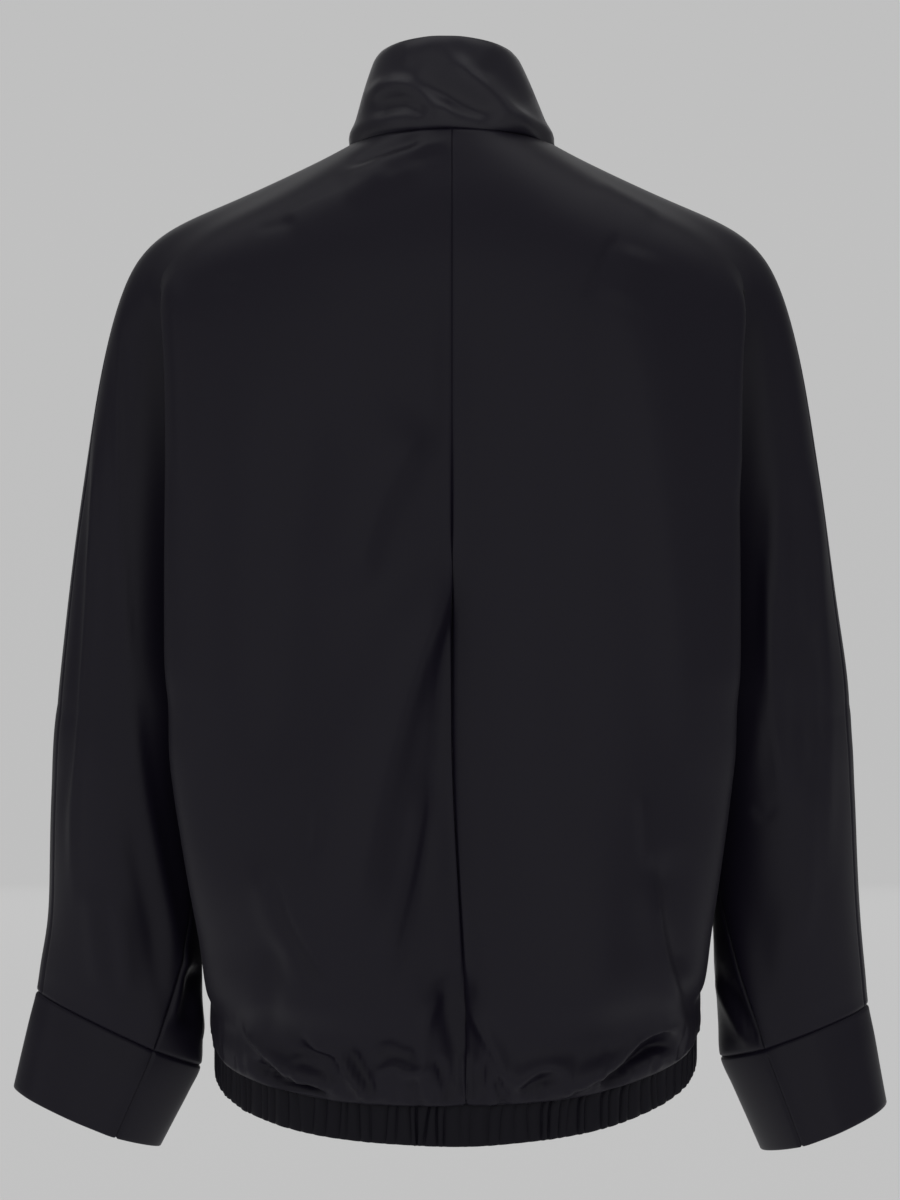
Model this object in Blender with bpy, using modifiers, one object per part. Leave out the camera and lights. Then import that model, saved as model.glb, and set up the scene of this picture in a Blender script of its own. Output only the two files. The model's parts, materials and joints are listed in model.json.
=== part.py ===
"""Track jacket: a plain black satin blouson, filled out as it is worn, its zip closed to the top.

The jacket is cut in four dolman panels, two backs and two fronts, each with its half of the sleeve in one
with the body. A stand collar, a ruched elastic waistband and two plain cuffs finish the edges, and a zip
with one hinged pull tab joins the fronts.

Frame: metres, +Z up. The front faces -Y, the wearer's left is +X, and the origin is the middle of the
neck opening, level with the points where the neck seam crosses the shoulders.

How the cloth is made: every level of the jacket is a section, a smooth curve through named landmarks that
runs from the centre back round the side to the centre front. The sections make one thin shell. Each piece
takes its share of the shell, draws back by half a seam gap at its edges, and becomes a wall.
"""
import math
from collections import namedtuple

import bmesh
import bpy
import numpy as np
from mathutils import Matrix, Vector

MM = 0.001

# ---------------------------------------------------------------- driving dimensions, in metres
WALL = 1.8 * MM             # one layer of satin with its seam allowances
DOUBLE_WALL = 2.4 * MM      # collar, waistband and cuffs are folded double
SEAM_GAP = 0.3 * MM         # between neighbouring pieces
SHARPEST_CORNER = 0.5       # keeps a piece's corner from drawing back too far
THICKEST_MITRE = 1.35       # limits the wall's depth at a sharp fold
CLOTH_CREASE_ANGLE = 50.0   # in degrees: a sharper edge than this is shaded sharp
ZIP_CREASE_ANGLE = 30.0

FRONT_EDGE_X = 5.0 * MM     # from the zip's middle to the edge of each front
FACING_X = 12.0 * MM        # the outer edge of the zip tape under each front
FACING_SETBACK = 0.5 * MM   # how far it lies behind the front's edge
LIP_X = 16.0 * MM           # from the centre back seam to the lip of its crease

COLLAR_TOP_HALF_WIDTH = 50.0 * MM
COLLAR_TOP_BACK_Y = 58.0 * MM
COLLAR_TOP_FRONT_Y = -62.0 * MM
COLLAR_TOP_SIDE_Z = 65.0 * MM
COLLAR_TOP_BACK_Z = 71.5 * MM
COLLAR_TOP_FRONT_Z = 16.0 * MM
NECK_DROP_POWER = 1.3       # how late the neckline falls towards the centre front

BAND_HEIGHT = 31.0 * MM
BAND_SIDE_Z = -622.0 * MM   # the seam between body and waistband, at the side
BAND_BACK_DROP = 37.0 * MM  # how much lower it is at the centre back
BAND_FRONT_DROP = 33.0 * MM
BAND_DROP_POWER = 1.6
RUCHE_COUNT = 84
RUCHE_HEIGHT = 2.3 * MM
RUCHE_START = 5.0 * MM      # below the seam, where a ruche has its full height
RUCHE_PROFILE = (0.0, 1.0, 0.62)
RUCHE_MEAN = 0.84           # of the full height; two waves of unlike pace make the ruches uneven
RUCHE_WAVES = ((0.1, 2.3, 0.0), (0.06, 5.1, 1.0))

# ---------------------------------------------------------------- sections, in millimetres
# Above the underarm point a section is one curve: centre back, lip of the crease, shoulder blade, edge of
# the back's hanging fold, valley beside it, ridge of the sleeve, outermost point, then the same to the
# centre front. `bow` rounds the stretch from valley to ridge: 0.5 is straight and 0.72 a quarter circle.
BackSection = namedtuple(
    "BackSection",
    "over_z centre_z lip_y crease blade_x blade_y edge_x edge_y valley_x valley_y ridge_x ridge_y"
    " outer_x outer_y bow")
BACK_SECTIONS = [
    BackSection(0, 6.5, 68, 0.0, 28, 63, 50, 49, 58, 40, 66, 27, 74, 0, 0.54),
    BackSection(-14, -18, 80, 0.0, 45, 78, 78, 60, 86, 50, 95, 32, 105, 0, 0.54),
    BackSection(-36, -42, 91, 0.5, 65, 89, 112, 70, 123, 58, 139, 34, 153, 0, 0.54),
    BackSection(-57, -66, 99, 1.0, 80, 99, 150, 74, 167, 59, 186, 36, 202, 0, 0.58),
    BackSection(-80, -88, 105, 1.5, 85, 106, 180, 71, 196, 54, 211, 34, 225, 0, 0.6),
    BackSection(-100, -105, 107, 1.8, 87, 109, 202, 63, 204, 52, 217, 38, 233, 0, 0.58),
    BackSection(-118, -120, 109, 2.0, 88, 112, 200, 71, 198, 53, 219, 41, 239, 0, 0.56),
    BackSection(-160, -160, 112, 3.0, 90, 116, 197, 81, 188, 48, 221, 44, 249, -1, 0.53),
    BackSection(-220, -220, 114, 5.0, 92, 118, 196, 84, 179, 41, 223, 46, 259, -2, 0.52),
    BackSection(-290, -290, 115, 7.0, 95, 119, 197, 82, 173, 30, 225, 46, 269, -4, 0.53),
    BackSection(-350, -350, 116, 8.0, 98, 120, 197, 80, 171, 18, 226, 45, 276, -4, 0.58),
    BackSection(-380, -380, 117, 8.0, 99, 121, 197, 79, 170.5, 13, 226, 45, 279, -3, 0.63),
    BackSection(-393, -393, 117.5, 8.0, 100, 121, 196, 78, 170, 8.5, 226, 44.5, 280, -2.5, 0.68),
]
FrontSection = namedtuple(
    "FrontSection",
    "centre_z ridge_x ridge_y valley_x valley_y edge_x edge_y chest_x chest_y centre_y")
FRONT_SECTIONS = [
    FrontSection(-55, 66, -27, 58, -40, 46, -54, 28, -67, -72),
    FrontSection(-66, 96, -30, 86, -45, 72, -59, 42, -77, -82),
    FrontSection(-82, 139, -34, 124, -55, 104, -73, 60, -90, -93),
    FrontSection(-98, 186, -36, 167, -57, 142, -80, 76, -101, -102),
    FrontSection(-115, 211, -36, 195, -57, 170, -79, 84, -109, -109),
    FrontSection(-131, 217, -39, 201, -55, 188, -76, 87, -112, -112),
    FrontSection(-145, 219, -42, 195, -56, 186, -83, 88, -115, -114),
    FrontSection(-178, 222, -45, 186, -53, 181, -88, 92, -118, -117),
    FrontSection(-230, 225, -48, 179, -44, 177, -91, 95, -120, -118),
    FrontSection(-294, 226, -49, 174, -33, 177, -90, 97, -121, -119),
    FrontSection(-351, 226, -49, 171, -20, 177, -88, 99, -121, -119),
    FrontSection(-380, 226, -48, 170.5, -13, 176, -87, 100, -121, -119),
    FrontSection(-393, 226, -47.5, 170, -8.5, 176, -86, 100, -121, -119),
]

# Below the underarm point the body goes on by itself. The first row is the underarm point's own level.
BodySection = namedtuple(
    "BodySection", "z lip_y crease blade_x blade_y edge_x edge_y side_x front_edge_x front_edge_y"
    " chest_x chest_y centre_y")
BODY_SECTIONS = [
    BodySection(-400, 118, 8.0, 100, 121, 196, 78, 170, 176, -86, 100, -121, -119),
    BodySection(-413, 118, 8.0, 100.5, 121.5, 195, 77.5, 168.2, 175.5, -85.5, 100, -121, -119.3),
    BodySection(-430, 118.5, 8.0, 101, 122.5, 193.5, 77, 166.2, 175, -85, 100, -121.5, -119.6),
    BodySection(-460, 119, 8.0, 102, 124, 190, 76, 163.5, 174, -84, 101, -122, -120),
    BodySection(-505, 121, 8.0, 103, 127, 183, 76, 162, 172, -83, 102, -123, -119.5),
    BodySection(-550, 124, 7.0, 103, 131, 175, 76, 165, 170, -83, 102, -124, -117),
    BodySection(-588, 126, 6.0, 102, 133, 168, 76, 169, 169, -82, 101, -124, -112),
]

# The seam between body and waistband, seen from above, and how full the blouson is over each landmark.
HemPoint = namedtuple("HemPoint", "x y fullness")
HEM_BACK_CENTRE = HemPoint(0, 113, 0.75)
HEM_POINTS = [
    HEM_BACK_CENTRE,
    HemPoint(16, 112.5, 0.85),
    HemPoint(95, 99, 1.0),
    HemPoint(150, 63, 0.9),
    HemPoint(171, -2, 0.05),
    HemPoint(149, -57, 0.5),
    HemPoint(92, -90, 0.6),
    HemPoint(12, -102.8, 0.0),
    HemPoint(5, -103, 0.0),
]
# Rows of the blouson down to that seam: height above it and reach outside it, where it is fullest, and
# height above it where it has no fullness and falls straight.
BlousonRow = namedtuple("BlousonRow", "full_rise reach plain_rise")
BLOUSON_ROWS = [
    BlousonRow(30.0, 15.0, 30.0),
    BlousonRow(9.0, 15.0, 12.0),
    BlousonRow(-3.5, 8.5, 4.0),
    BlousonRow(0.0, 0.0, 0.0),
]

# Below the underarm point each sleeve is a stack of oval rings. `roll` tips a ring's outer side up, and
# `twist` carries the underarm seam round towards the back, both in degrees. `ridge` is how far the fold
# down the sleeve's back stands out of the oval.
SleeveRing = namedtuple("SleeveRing", "x y z half_width half_depth roll twist ridge")
SLEEVE_RINGS = {
    "left": [
        SleeveRing(225.5, -1.0, -400, 55.5, 45.5, 0.0, 0.0, 0.0),
        SleeveRing(227.5, -2.0, -413, 54.8, 45.8, 0.5, 1.0, 1.0),
        SleeveRing(229.0, -4.0, -430, 54.2, 46.0, 1.5, 4.0, 2.5),
        SleeveRing(230.5, -8.0, -460, 53.5, 46.0, 4.0, 10.0, 3.5),
        SleeveRing(231.0, -13.0, -510, 55.5, 44.0, 9.0, 24.0, 3.5),
        SleeveRing(232.5, -17.0, -565, 59.0, 39.0, 17.0, 43.0, 3.0),
        SleeveRing(235.5, -19.0, -603, 63.5, 33.0, 22.5, 56.0, 1.5),
        SleeveRing(237.9, -20.0, -626.5, 65.6, 29.5, 24.9, 63.0, 0.0),
    ],
    "right": [
        SleeveRing(225.5, -1.0, -400, 55.5, 45.5, 0.0, 0.0, 0.0),
        SleeveRing(227.5, -2.0, -413, 54.8, 45.8, 0.5, 1.0, 1.0),
        SleeveRing(229.5, -4.0, -430, 54.6, 46.2, 1.5, 4.0, 2.5),
        SleeveRing(232.0, -8.0, -460, 54.0, 46.5, 4.0, 10.0, 3.5),
        SleeveRing(235.0, -13.0, -510, 54.0, 45.5, 9.0, 24.0, 3.5),
        SleeveRing(239.0, -17.0, -565, 55.0, 43.0, 15.0, 43.0, 3.0),
        SleeveRing(242.5, -19.0, -605, 56.3, 39.5, 19.0, 56.0, 1.5),
        SleeveRing(244.6, -20.0, -628.0, 56.9, 38.0, 20.3, 63.0, 0.0),
    ],
}
CUFF_RINGS = {
    "left": [
        SleeveRing(245.0, -21.0, -646.5, 63.5, 33.0, 24.4, 63.0, 0.0),
        SleeveRing(253.0, -22.0, -668.0, 60.5, 35.5, 23.5, 63.0, 0.0),
        SleeveRing(260.8, -22.0, -689.2, 57.5, 37.5, 22.7, 63.0, 0.0),
    ],
    "right": [
        SleeveRing(251.5, -21.0, -649.5, 54.5, 41.5, 20.8, 63.0, 0.0),
        SleeveRing(258.7, -22.0, -672.5, 51.5, 45.0, 21.2, 63.0, 0.0),
        SleeveRing(265.9, -22.0, -695.7, 48.6, 47.5, 21.6, 63.0, 0.0),
    ],
}
QUARTER_BOW = 0.72          # of a quarter turn between two landmarks
VALLEY_TIGHTNESS = 0.25     # share of the usual tangent at the bottom of a valley
RIDGE_FOLLOWS = 0.2         # share of a ring's twist that the ridge down the sleeve's back follows
OUTER_LANDMARK = 8          # numbers of landmarks in an upper section and in a ring
RIDGE_LANDMARK = 2

# ---------------------------------------------------------------- resolution of the shell
# Columns of quads between one landmark and the next.
BACK_BODY_STEPS = [1, 3, 4, 3]
BACK_SLEEVE_STEPS = [2, 2, 2, 2]
FRONT_SLEEVE_STEPS = [2, 2, 2, 2]
FRONT_BODY_STEPS = [3, 3, 3, 1]
OVERARM_COLUMNS = 1         # the overarm seam lies this many columns behind the outermost one
UPPER_ROWS = [0, 0.5, 1, 1.5, 2, 2.5, 3, 3.5, 4, 5, 6, 7, 8, 9, 10, 11, 12]
COLLAR_ROWS = [1.0, 0.66, 0.33]

# ---------------------------------------------------------------- zip, in metres
CHAIN_INNER_X = 0.15 * MM
CHAIN_OUTER_X = 2.8 * MM
CHAIN_FRONT_DEPTH = 0.4 * MM    # below the outside of the cloth
CHAIN_BACK_DEPTH = 3.2 * MM
TAPE_INNER_X = 3.1 * MM
TAPE_FRONT_DEPTH = 2.7 * MM
TAPE_BACK_DEPTH = 3.7 * MM
BOX_SIZE = Vector((5.6, 3.2, 9.0)) * MM     # the retainer at the foot of the zip
BOX_DEPTH = 0.1 * MM
SLIDER_WIDTH = 8.6 * MM
SLIDER_LENGTH = 10.5 * MM
SLIDER_PLATE = 1.4 * MM
SLIDER_POST_LENGTH = 3.4 * MM
SLIDER_POST_HALF_WIDTH = 2.6 * MM
ZIP_END_INSET = 1.0 * MM        # the zip stops short of the collar's top edge and the band's foot
BAIL_HALF_WIDTH = 3.1 * MM
BAIL_THICKNESS = 1.1 * MM
BAIL_PIN_RADIUS = 0.7 * MM
BAIL_STANDOFF = 2.6 * MM        # from the slider's face to the pin's axis
TAB_EYE_RADIUS = 1.9 * MM
TAB_HOLE_RADIUS = 1.05 * MM
TAB_EYE_WIDTH = 4.4 * MM
TAB_LENGTH = 30.0 * MM
TAB_WIDTH = 6.4 * MM
TAB_THICKNESS = 1.5 * MM
TAB_NECK_LENGTH = 4.2 * MM      # from the hinge's axis to the tab's blade
TAB_ROUNDING = 0.8 * MM
BOX_ROUNDING = 0.5 * MM

# ---------------------------------------------------------------- colours, as linear light
SATIN_COLOUR = (0.013, 0.0125, 0.016)
SATIN_ROUGHNESS = 0.42
RIBBED_ROUGHNESS = 0.5
TAPE_COLOUR = (0.011, 0.011, 0.012)
TAPE_ROUGHNESS = 0.85
TEETH_COLOUR = (0.02, 0.02, 0.022)
TEETH_ROUGHNESS = 0.4
METAL_COLOUR = (0.12, 0.12, 0.13)
METAL_ROUGHNESS = 0.3

SIDES = {"left": 1.0, "right": -1.0}

# The whole hem hangs a little towards the wearer's right, and a little lower on the left.
HEM_SHIFT = -2.5 * MM
HEM_SLOPE = -0.02
HEM_SETTLES_BELOW = -420.0 * MM
HEM_SETTLES_OVER = 150.0 * MM
HEM_SHIFT_FROM = 90.0 * MM      # nearer the middle the shift fades, so that the zip stays straight


# ---------------------------------------------------------------- curves through landmarks
def tangents(points, knots):
    """Catmull-Rom tangents at the inner points of a path with unevenly spaced knots."""
    steps = np.diff(knots)[:, None]
    slopes = np.diff(points, axis=0) / steps
    return (slopes[:-1] * steps[1:] + slopes[1:] * steps[:-1]) / (steps[:-1] + steps[1:])


def smooth_path(points, counts, before, after, sharp=()):
    """Points along a smooth curve through landmarks, with counts[i] steps from the i-th to the next.

    `before` and `after` are the neighbours that the curve would have beyond its ends. A landmark whose
    number is in `sharp` turns tightly, as the bottom of a valley does.
    """
    path = np.vstack([before, points, after])
    spacing = np.maximum(np.linalg.norm(np.diff(path, axis=0), axis=1), MM) ** 0.5
    knots = np.concatenate([[0.0], np.cumsum(spacing)])
    directions = tangents(path, knots)
    for number in sharp:
        directions[number] *= VALLEY_TIGHTNESS
    curve = []
    for number, count in enumerate(counts):
        start, end = points[number], points[number + 1]
        span = spacing[number + 1]
        for step in range(count):
            t = step / count
            curve.append(
                (2 * t**3 - 3 * t**2 + 1) * start + (t**3 - 2 * t**2 + t) * span * directions[number]
                + (3 * t**2 - 2 * t**3) * end + (t**3 - t**2) * span * directions[number + 1])
    curve.append(points[-1])
    return np.array(curve)


def between_rows(rows, place):
    """The landmarks at a fractional row number, on smooth curves through the rows."""
    last = len(rows) - 1
    low = min(int(math.floor(place)), last - 1)
    t = place - low
    p1, p2 = rows[low], rows[low + 1]
    p0 = rows[low - 1] if low > 0 else 2 * p1 - p2
    p3 = rows[low + 2] if low + 2 <= last else 2 * p2 - p1
    return 0.5 * (2 * p1 + (p2 - p0) * t + (2 * p0 - 5 * p1 + 4 * p2 - p3) * t**2
                  + (3 * p1 - p0 - 3 * p2 + p3) * t**3)


def mirrored(point):
    return point * np.array([-1.0, 1.0, 1.0])


# ---------------------------------------------------------------- landmarks of each level
def fall(y, centre_y, side_z, centre_z, power=1.0):
    """Height of a level that lies at side_z over the shoulder and at centre_z at the middle."""
    share = min(max(y / centre_y, 0.0), 1.0)
    return side_z + (centre_z - side_z) * share**power


def quarter(corner_from, corner_to, bow):
    """Halfway round a turn that leaves the first point along Y and meets the second along X."""
    return (corner_to[0] + (corner_from[0] - corner_to[0]) * bow,
            corner_from[1] + (corner_to[1] - corner_from[1]) * bow)


def upper_landmarks(back, front):
    """Landmarks of one level above the underarm point, from the centre back to the centre front."""
    back_xy = [
        (0, back.lip_y - back.crease),
        (LIP_X / MM, back.lip_y),
        (back.blade_x, back.blade_y),
        (back.edge_x, back.edge_y),
        (back.valley_x, back.valley_y),
        quarter((back.valley_x, back.valley_y), (back.ridge_x, back.ridge_y), back.bow),
        (back.ridge_x, back.ridge_y),
        quarter((back.outer_x, back.outer_y), (back.ridge_x, back.ridge_y), QUARTER_BOW),
        (back.outer_x, back.outer_y),
    ]
    front_xy = [
        quarter((back.outer_x, back.outer_y), (front.ridge_x, front.ridge_y), QUARTER_BOW),
        (front.ridge_x, front.ridge_y),
        quarter((front.valley_x, front.valley_y), (front.ridge_x, front.ridge_y), back.bow),
        (front.valley_x, front.valley_y),
        (front.edge_x, front.edge_y),
        (front.chest_x, front.chest_y),
        (FACING_X / MM, front.centre_y + FACING_SETBACK / MM),
        (FRONT_EDGE_X / MM, front.centre_y),
    ]
    landmarks = [(x, y, fall(y, back.lip_y, back.over_z, back.centre_z)) for x, y in back_xy]
    landmarks += [(x, y, fall(y, front.centre_y, back.over_z, front.centre_z, NECK_DROP_POWER))
                  for x, y in front_xy]
    return np.array(landmarks) * MM


def body_landmarks(row):
    """Landmarks of one level of the body below the underarm point."""
    flat = [
        (0, row.lip_y - row.crease),
        (LIP_X / MM, row.lip_y),
        (row.blade_x, row.blade_y),
        (row.edge_x, row.edge_y),
        (row.side_x, 0),
        (row.front_edge_x, row.front_edge_y),
        (row.chest_x, row.chest_y),
        (FACING_X / MM, row.centre_y + FACING_SETBACK / MM),
        (FRONT_EDGE_X / MM, row.centre_y),
    ]
    return np.array([(x, y, row.z) for x, y in flat]) * MM


def band_seam_z(y):
    """Height of the seam between body and waistband."""
    if y > 0:
        return BAND_SIDE_Z - BAND_BACK_DROP * (y / (HEM_BACK_CENTRE.y * MM)) ** BAND_DROP_POWER
    return BAND_SIDE_Z - BAND_FRONT_DROP * (y / (HEM_POINTS[-1].y * MM)) ** BAND_DROP_POWER


def hem_landmarks(row):
    """Landmarks of one row of the blouson, from its reach and rise over the waistband's seam."""
    half_width = max(point.x for point in HEM_POINTS)
    landmarks = []
    for point in HEM_POINTS:
        half_depth = HEM_BACK_CENTRE.y if point.y > 0 else -HEM_POINTS[-1].y
        outward = Vector((point.x / half_width**2, point.y / half_depth**2)).normalized()
        reach = row.reach * point.fullness
        rise = row.plain_rise + (row.full_rise - row.plain_rise) * point.fullness
        seam = band_seam_z(point.y * MM) / MM
        landmarks.append((point.x + outward.x * reach, point.y + outward.y * reach, seam + rise))
    return np.array(landmarks) * MM


def ring_angles(twist):
    """Angles of a ring's landmarks, from the underarm seam by the back ridge and the outermost point."""
    under = 180.0 - twist
    ridge = 90.0 - RIDGE_FOLLOWS * twist
    return [under, (under + ridge) / 2, ridge, ridge / 2, 0.0, -45.0, -90.0, (under - 360.0 - 90.0) / 2]


def ring_landmarks(ring):
    """Landmarks round one ring of a sleeve or cuff."""
    roll = math.radians(ring.roll)
    landmarks = []
    for number, angle in enumerate(ring_angles(ring.twist)):
        across = ring.half_width * math.cos(math.radians(angle))
        depth = ring.half_depth * math.sin(math.radians(angle))
        if number == RIDGE_LANDMARK:
            depth += ring.ridge
        landmarks.append((ring.x + across * math.cos(roll), ring.y + depth,
                          ring.z + across * math.sin(roll)))
    return np.array(landmarks) * MM


def collar_landmarks(neck, share):
    """Landmarks of the collar at a share of its height, over the landmarks of the neck seam."""
    landmarks = []
    for x, y, z in neck:
        top_y = y * COLLAR_TOP_BACK_Y / neck[1][1] if y > 0 else y * COLLAR_TOP_FRONT_Y / neck[-1][1]
        top_x = x if x <= FACING_X and y < 0 else x * COLLAR_TOP_HALF_WIDTH / neck[OUTER_LANDMARK][0]
        middle_z = COLLAR_TOP_BACK_Z if y > 0 else COLLAR_TOP_FRONT_Z
        power = 1.0 if y > 0 else NECK_DROP_POWER
        top_z = fall(abs(top_y), abs(COLLAR_TOP_BACK_Y if y > 0 else COLLAR_TOP_FRONT_Y),
                     COLLAR_TOP_SIDE_Z, middle_z, power)
        landmarks.append((x + (top_x - x) * share, y + (top_y - y) * share, z + (top_z - z) * share))
    return np.array(landmarks)


# ---------------------------------------------------------------- sections as rows of points
UPPER_STEPS = BACK_BODY_STEPS + BACK_SLEEVE_STEPS + FRONT_SLEEVE_STEPS + FRONT_BODY_STEPS
BODY_STEPS = BACK_BODY_STEPS + FRONT_BODY_STEPS
RING_STEPS = BACK_SLEEVE_STEPS + FRONT_SLEEVE_STEPS
BACK_BODY_COLUMNS = sum(BACK_BODY_STEPS)
BODY_COLUMNS = sum(BODY_STEPS)
UPPER_COLUMNS = sum(UPPER_STEPS)
RING_COLUMNS = sum(RING_STEPS)
OVERARM_COLUMN = BACK_BODY_COLUMNS + sum(BACK_SLEEVE_STEPS) - OVERARM_COLUMNS
VALLEY_LANDMARKS = (len(BACK_BODY_STEPS), len(UPPER_STEPS) - len(FRONT_BODY_STEPS))


def open_section(landmarks, counts, sharp=()):
    """A row of points from the centre back to the front's edge."""
    after = 2 * landmarks[-1] - landmarks[-2]
    return smooth_path(landmarks, counts, mirrored(landmarks[1]), after, sharp)


def ring_section(landmarks):
    """A ring of points that starts at the underarm seam and goes round by the back."""
    closed = np.vstack([landmarks, landmarks[:1]])
    return smooth_path(closed, RING_STEPS, landmarks[-1], landmarks[1])[:-1]


def body_levels():
    """Rows of the body from the underarm point down to the waistband's seam."""
    levels = [body_landmarks(row) for row in BODY_SECTIONS]
    levels += [hem_landmarks(row) for row in BLOUSON_ROWS]
    return [open_section(level, BODY_STEPS) for level in levels]


def upper_levels():
    """Rows from the neck seam down to the last one above the underarm point."""
    rows = [upper_landmarks(back, front) for back, front in zip(BACK_SECTIONS, FRONT_SECTIONS)]
    return [open_section(between_rows(rows, place), UPPER_STEPS, VALLEY_LANDMARKS)
            for place in UPPER_ROWS]


def collar_levels():
    """Rows of the collar from its top edge down to the last one above the neck seam."""
    neck = upper_landmarks(BACK_SECTIONS[0], FRONT_SECTIONS[0])
    return [open_section(collar_landmarks(neck, share), UPPER_STEPS) for share in COLLAR_ROWS]


# ---------------------------------------------------------------- the shell
PIECES = ["back_left", "back_right", "front_left", "front_right", "collar", "cuff_left", "cuff_right"]


def add_row(shell, points, side):
    return [shell.verts.new((x * SIDES[side], y, z)) for x, y, z in points]


def settled(levels, side):
    """The body's levels with the hem's small shift and slope worked in, on one side of the jacket."""
    result = []
    for points in levels:
        points = points.copy()
        share = np.clip((HEM_SETTLES_BELOW - points[:, 2]) / HEM_SETTLES_OVER, 0.0, 1.0)
        ease = share * share * (3.0 - 2.0 * share)
        x = points[:, 0]
        points[:, 2] += HEM_SLOPE * SIDES[side] * x * ease
        towards_side = np.clip((x - FACING_X) / HEM_SHIFT_FROM, 0.0, 1.0)
        points[:, 0] += HEM_SHIFT * SIDES[side] * ease * towards_side
        result.append(points)
    return result


def add_faces(shell, upper_row, lower_row, side, piece_of_column):
    """A strip of quads between two rows; piece_of_column names the piece that each quad belongs to."""
    for column in range(len(upper_row) - 1):
        corners = [upper_row[column], upper_row[column + 1], lower_row[column + 1], lower_row[column]]
        if side == "right":
            corners.reverse()
        face = shell.faces.new(corners)
        face.material_index = PIECES.index(piece_of_column(column))


def add_side(shell, side, centre_back):
    """One side of the jacket; centre_back holds the rows' first points once one side has made them."""
    def shared(name, rows):
        if name in centre_back:
            for row, first in zip(rows, centre_back[name]):
                shell.verts.remove(row[0])
                row[0] = first
        else:
            centre_back[name] = [row[0] for row in rows]
        return rows

    def half(column, back_columns):
        return ("back_" if column < back_columns else "front_") + side

    collar = shared("collar", [add_row(shell, points, side) for points in collar_levels()])
    upper = shared("upper", [add_row(shell, points, side) for points in upper_levels()])
    body = shared("body", [add_row(shell, points, side) for points in settled(body_levels(), side)])
    rings = [add_row(shell, ring_section(ring_landmarks(ring)), side)
             for ring in SLEEVE_RINGS[side] + CUFF_RINGS[side]]
    underarm = body[0][BACK_BODY_COLUMNS]
    shell.verts.remove(rings[0][0])
    rings[0][0] = underarm
    split_row = (body[0][:BACK_BODY_COLUMNS + 1] + rings[0][1:] + [underarm]
                 + body[0][BACK_BODY_COLUMNS + 1:])

    for above, below in zip(collar, collar[1:] + upper[:1]):
        add_faces(shell, above, below, side, lambda column: "collar")
    for above, below in zip(upper, upper[1:] + [split_row]):
        add_faces(shell, above, below, side, lambda column: half(column, OVERARM_COLUMN))
    for above, below in zip(body, body[1:]):
        add_faces(shell, above, below, side, lambda column: half(column, BACK_BODY_COLUMNS))
    sleeve_rows = len(SLEEVE_RINGS[side]) - 1
    back_sleeve_columns = OVERARM_COLUMN - BACK_BODY_COLUMNS
    for number, (above, below) in enumerate(zip(rings, rings[1:])):
        if number < sleeve_rows:
            add_faces(shell, above + above[:1], below + below[:1], side,
                      lambda column: half(column, back_sleeve_columns))
        else:
            add_faces(shell, above + above[:1], below + below[:1], side, lambda column: "cuff_" + side)
    return {"collar": collar, "upper": upper, "split": split_row, "body": body}


def build_shell():
    """The whole jacket but for the waistband and zip, as one thin surface with its outside facing out."""
    shell = bmesh.new()
    centre_back = {}
    rows = {side: add_side(shell, side, centre_back) for side in SIDES}
    bmesh.ops.triangulate(shell, faces=shell.faces[:], quad_method="SHORT_EDGE")
    number_elements(shell)
    return shell, rows


def number_elements(shell):
    """Fresh normals and index numbers after a shell's faces have changed."""
    shell.normal_update()
    shell.verts.index_update()
    shell.edges.index_update()
    shell.faces.index_update()


# ---------------------------------------------------------------- walls from patches of a shell
def inset_directions(patch, edges):
    """How each edge point draws back from its seam: the sum that keeps it one unit from all its edges."""
    inward = {}
    for edge in edges:
        face = next(face for face in edge.link_faces if face in patch)
        along = (edge.verts[1].co - edge.verts[0].co).normalized()
        for vert in edge.verts:
            across = face.calc_center_median() - vert.co
            across -= along * across.dot(along)
            across -= vert.normal * across.dot(vert.normal)
            inward.setdefault(vert, []).append(across.normalized())
    moves = {}
    for vert, directions in inward.items():
        total = sum(directions, Vector())
        spread = 1.0 + directions[0].dot(directions[1]) if len(directions) == 2 else len(directions)
        moves[vert] = total / max(spread, SHARPEST_CORNER)
    return moves


def wall_from_patch(name, patch, thickness, outward=None):
    """A closed wall on the inside of a patch of faces; outward may raise points of its outside."""
    patch = set(patch)
    edges = [edge for edge in {edge for face in patch for edge in face.edges}
             if sum(face in patch for face in edge.link_faces) == 1]
    edges.sort(key=lambda edge: edge.index)
    moves = inset_directions(patch, edges)
    verts = sorted({vert for face in patch for vert in face.verts}, key=lambda vert: vert.index)
    wall = bmesh.new()
    outer = {}
    inner = {}
    for vert in verts:
        place = vert.co + moves.get(vert, Vector()) * SEAM_GAP / 2
        depth = thickness * min(vert.calc_shell_factor(), THICKEST_MITRE)
        lift = outward(vert) if outward else 0.0
        outer[vert] = wall.verts.new(place + vert.normal * lift)
        inner[vert] = wall.verts.new(place - vert.normal * depth)
    for face in sorted(patch, key=lambda face: face.index):
        wall.faces.new([outer[vert] for vert in face.verts])
        wall.faces.new([inner[vert] for vert in reversed(face.verts)])
    for edge in edges:
        loop = next(loop for loop in edge.link_loops if loop.face in patch)
        first, second = loop.vert, loop.link_loop_next.vert
        if first.index < second.index:      # neighbours split a seam's faces along the same diagonal
            wall.faces.new([outer[second], outer[first], inner[second]])
            wall.faces.new([outer[first], inner[first], inner[second]])
        else:
            wall.faces.new([outer[second], outer[first], inner[first]])
            wall.faces.new([outer[second], inner[first], inner[second]])
    return finish_mesh(name, wall)


def finish_mesh(name, work, smooth_angle=CLOTH_CREASE_ANGLE):
    """An object from a bmesh, in the part's collection, smooth but for its sharp edges."""
    mesh = bpy.data.meshes.new(name)
    for face in work.faces:
        face.smooth = True
        face.material_index = 0
    work.to_mesh(mesh)
    work.free()
    mesh.set_sharp_from_angle(angle=math.radians(smooth_angle))
    obj = bpy.data.objects.new(name, mesh)
    part_collection().objects.link(obj)
    return obj


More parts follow.
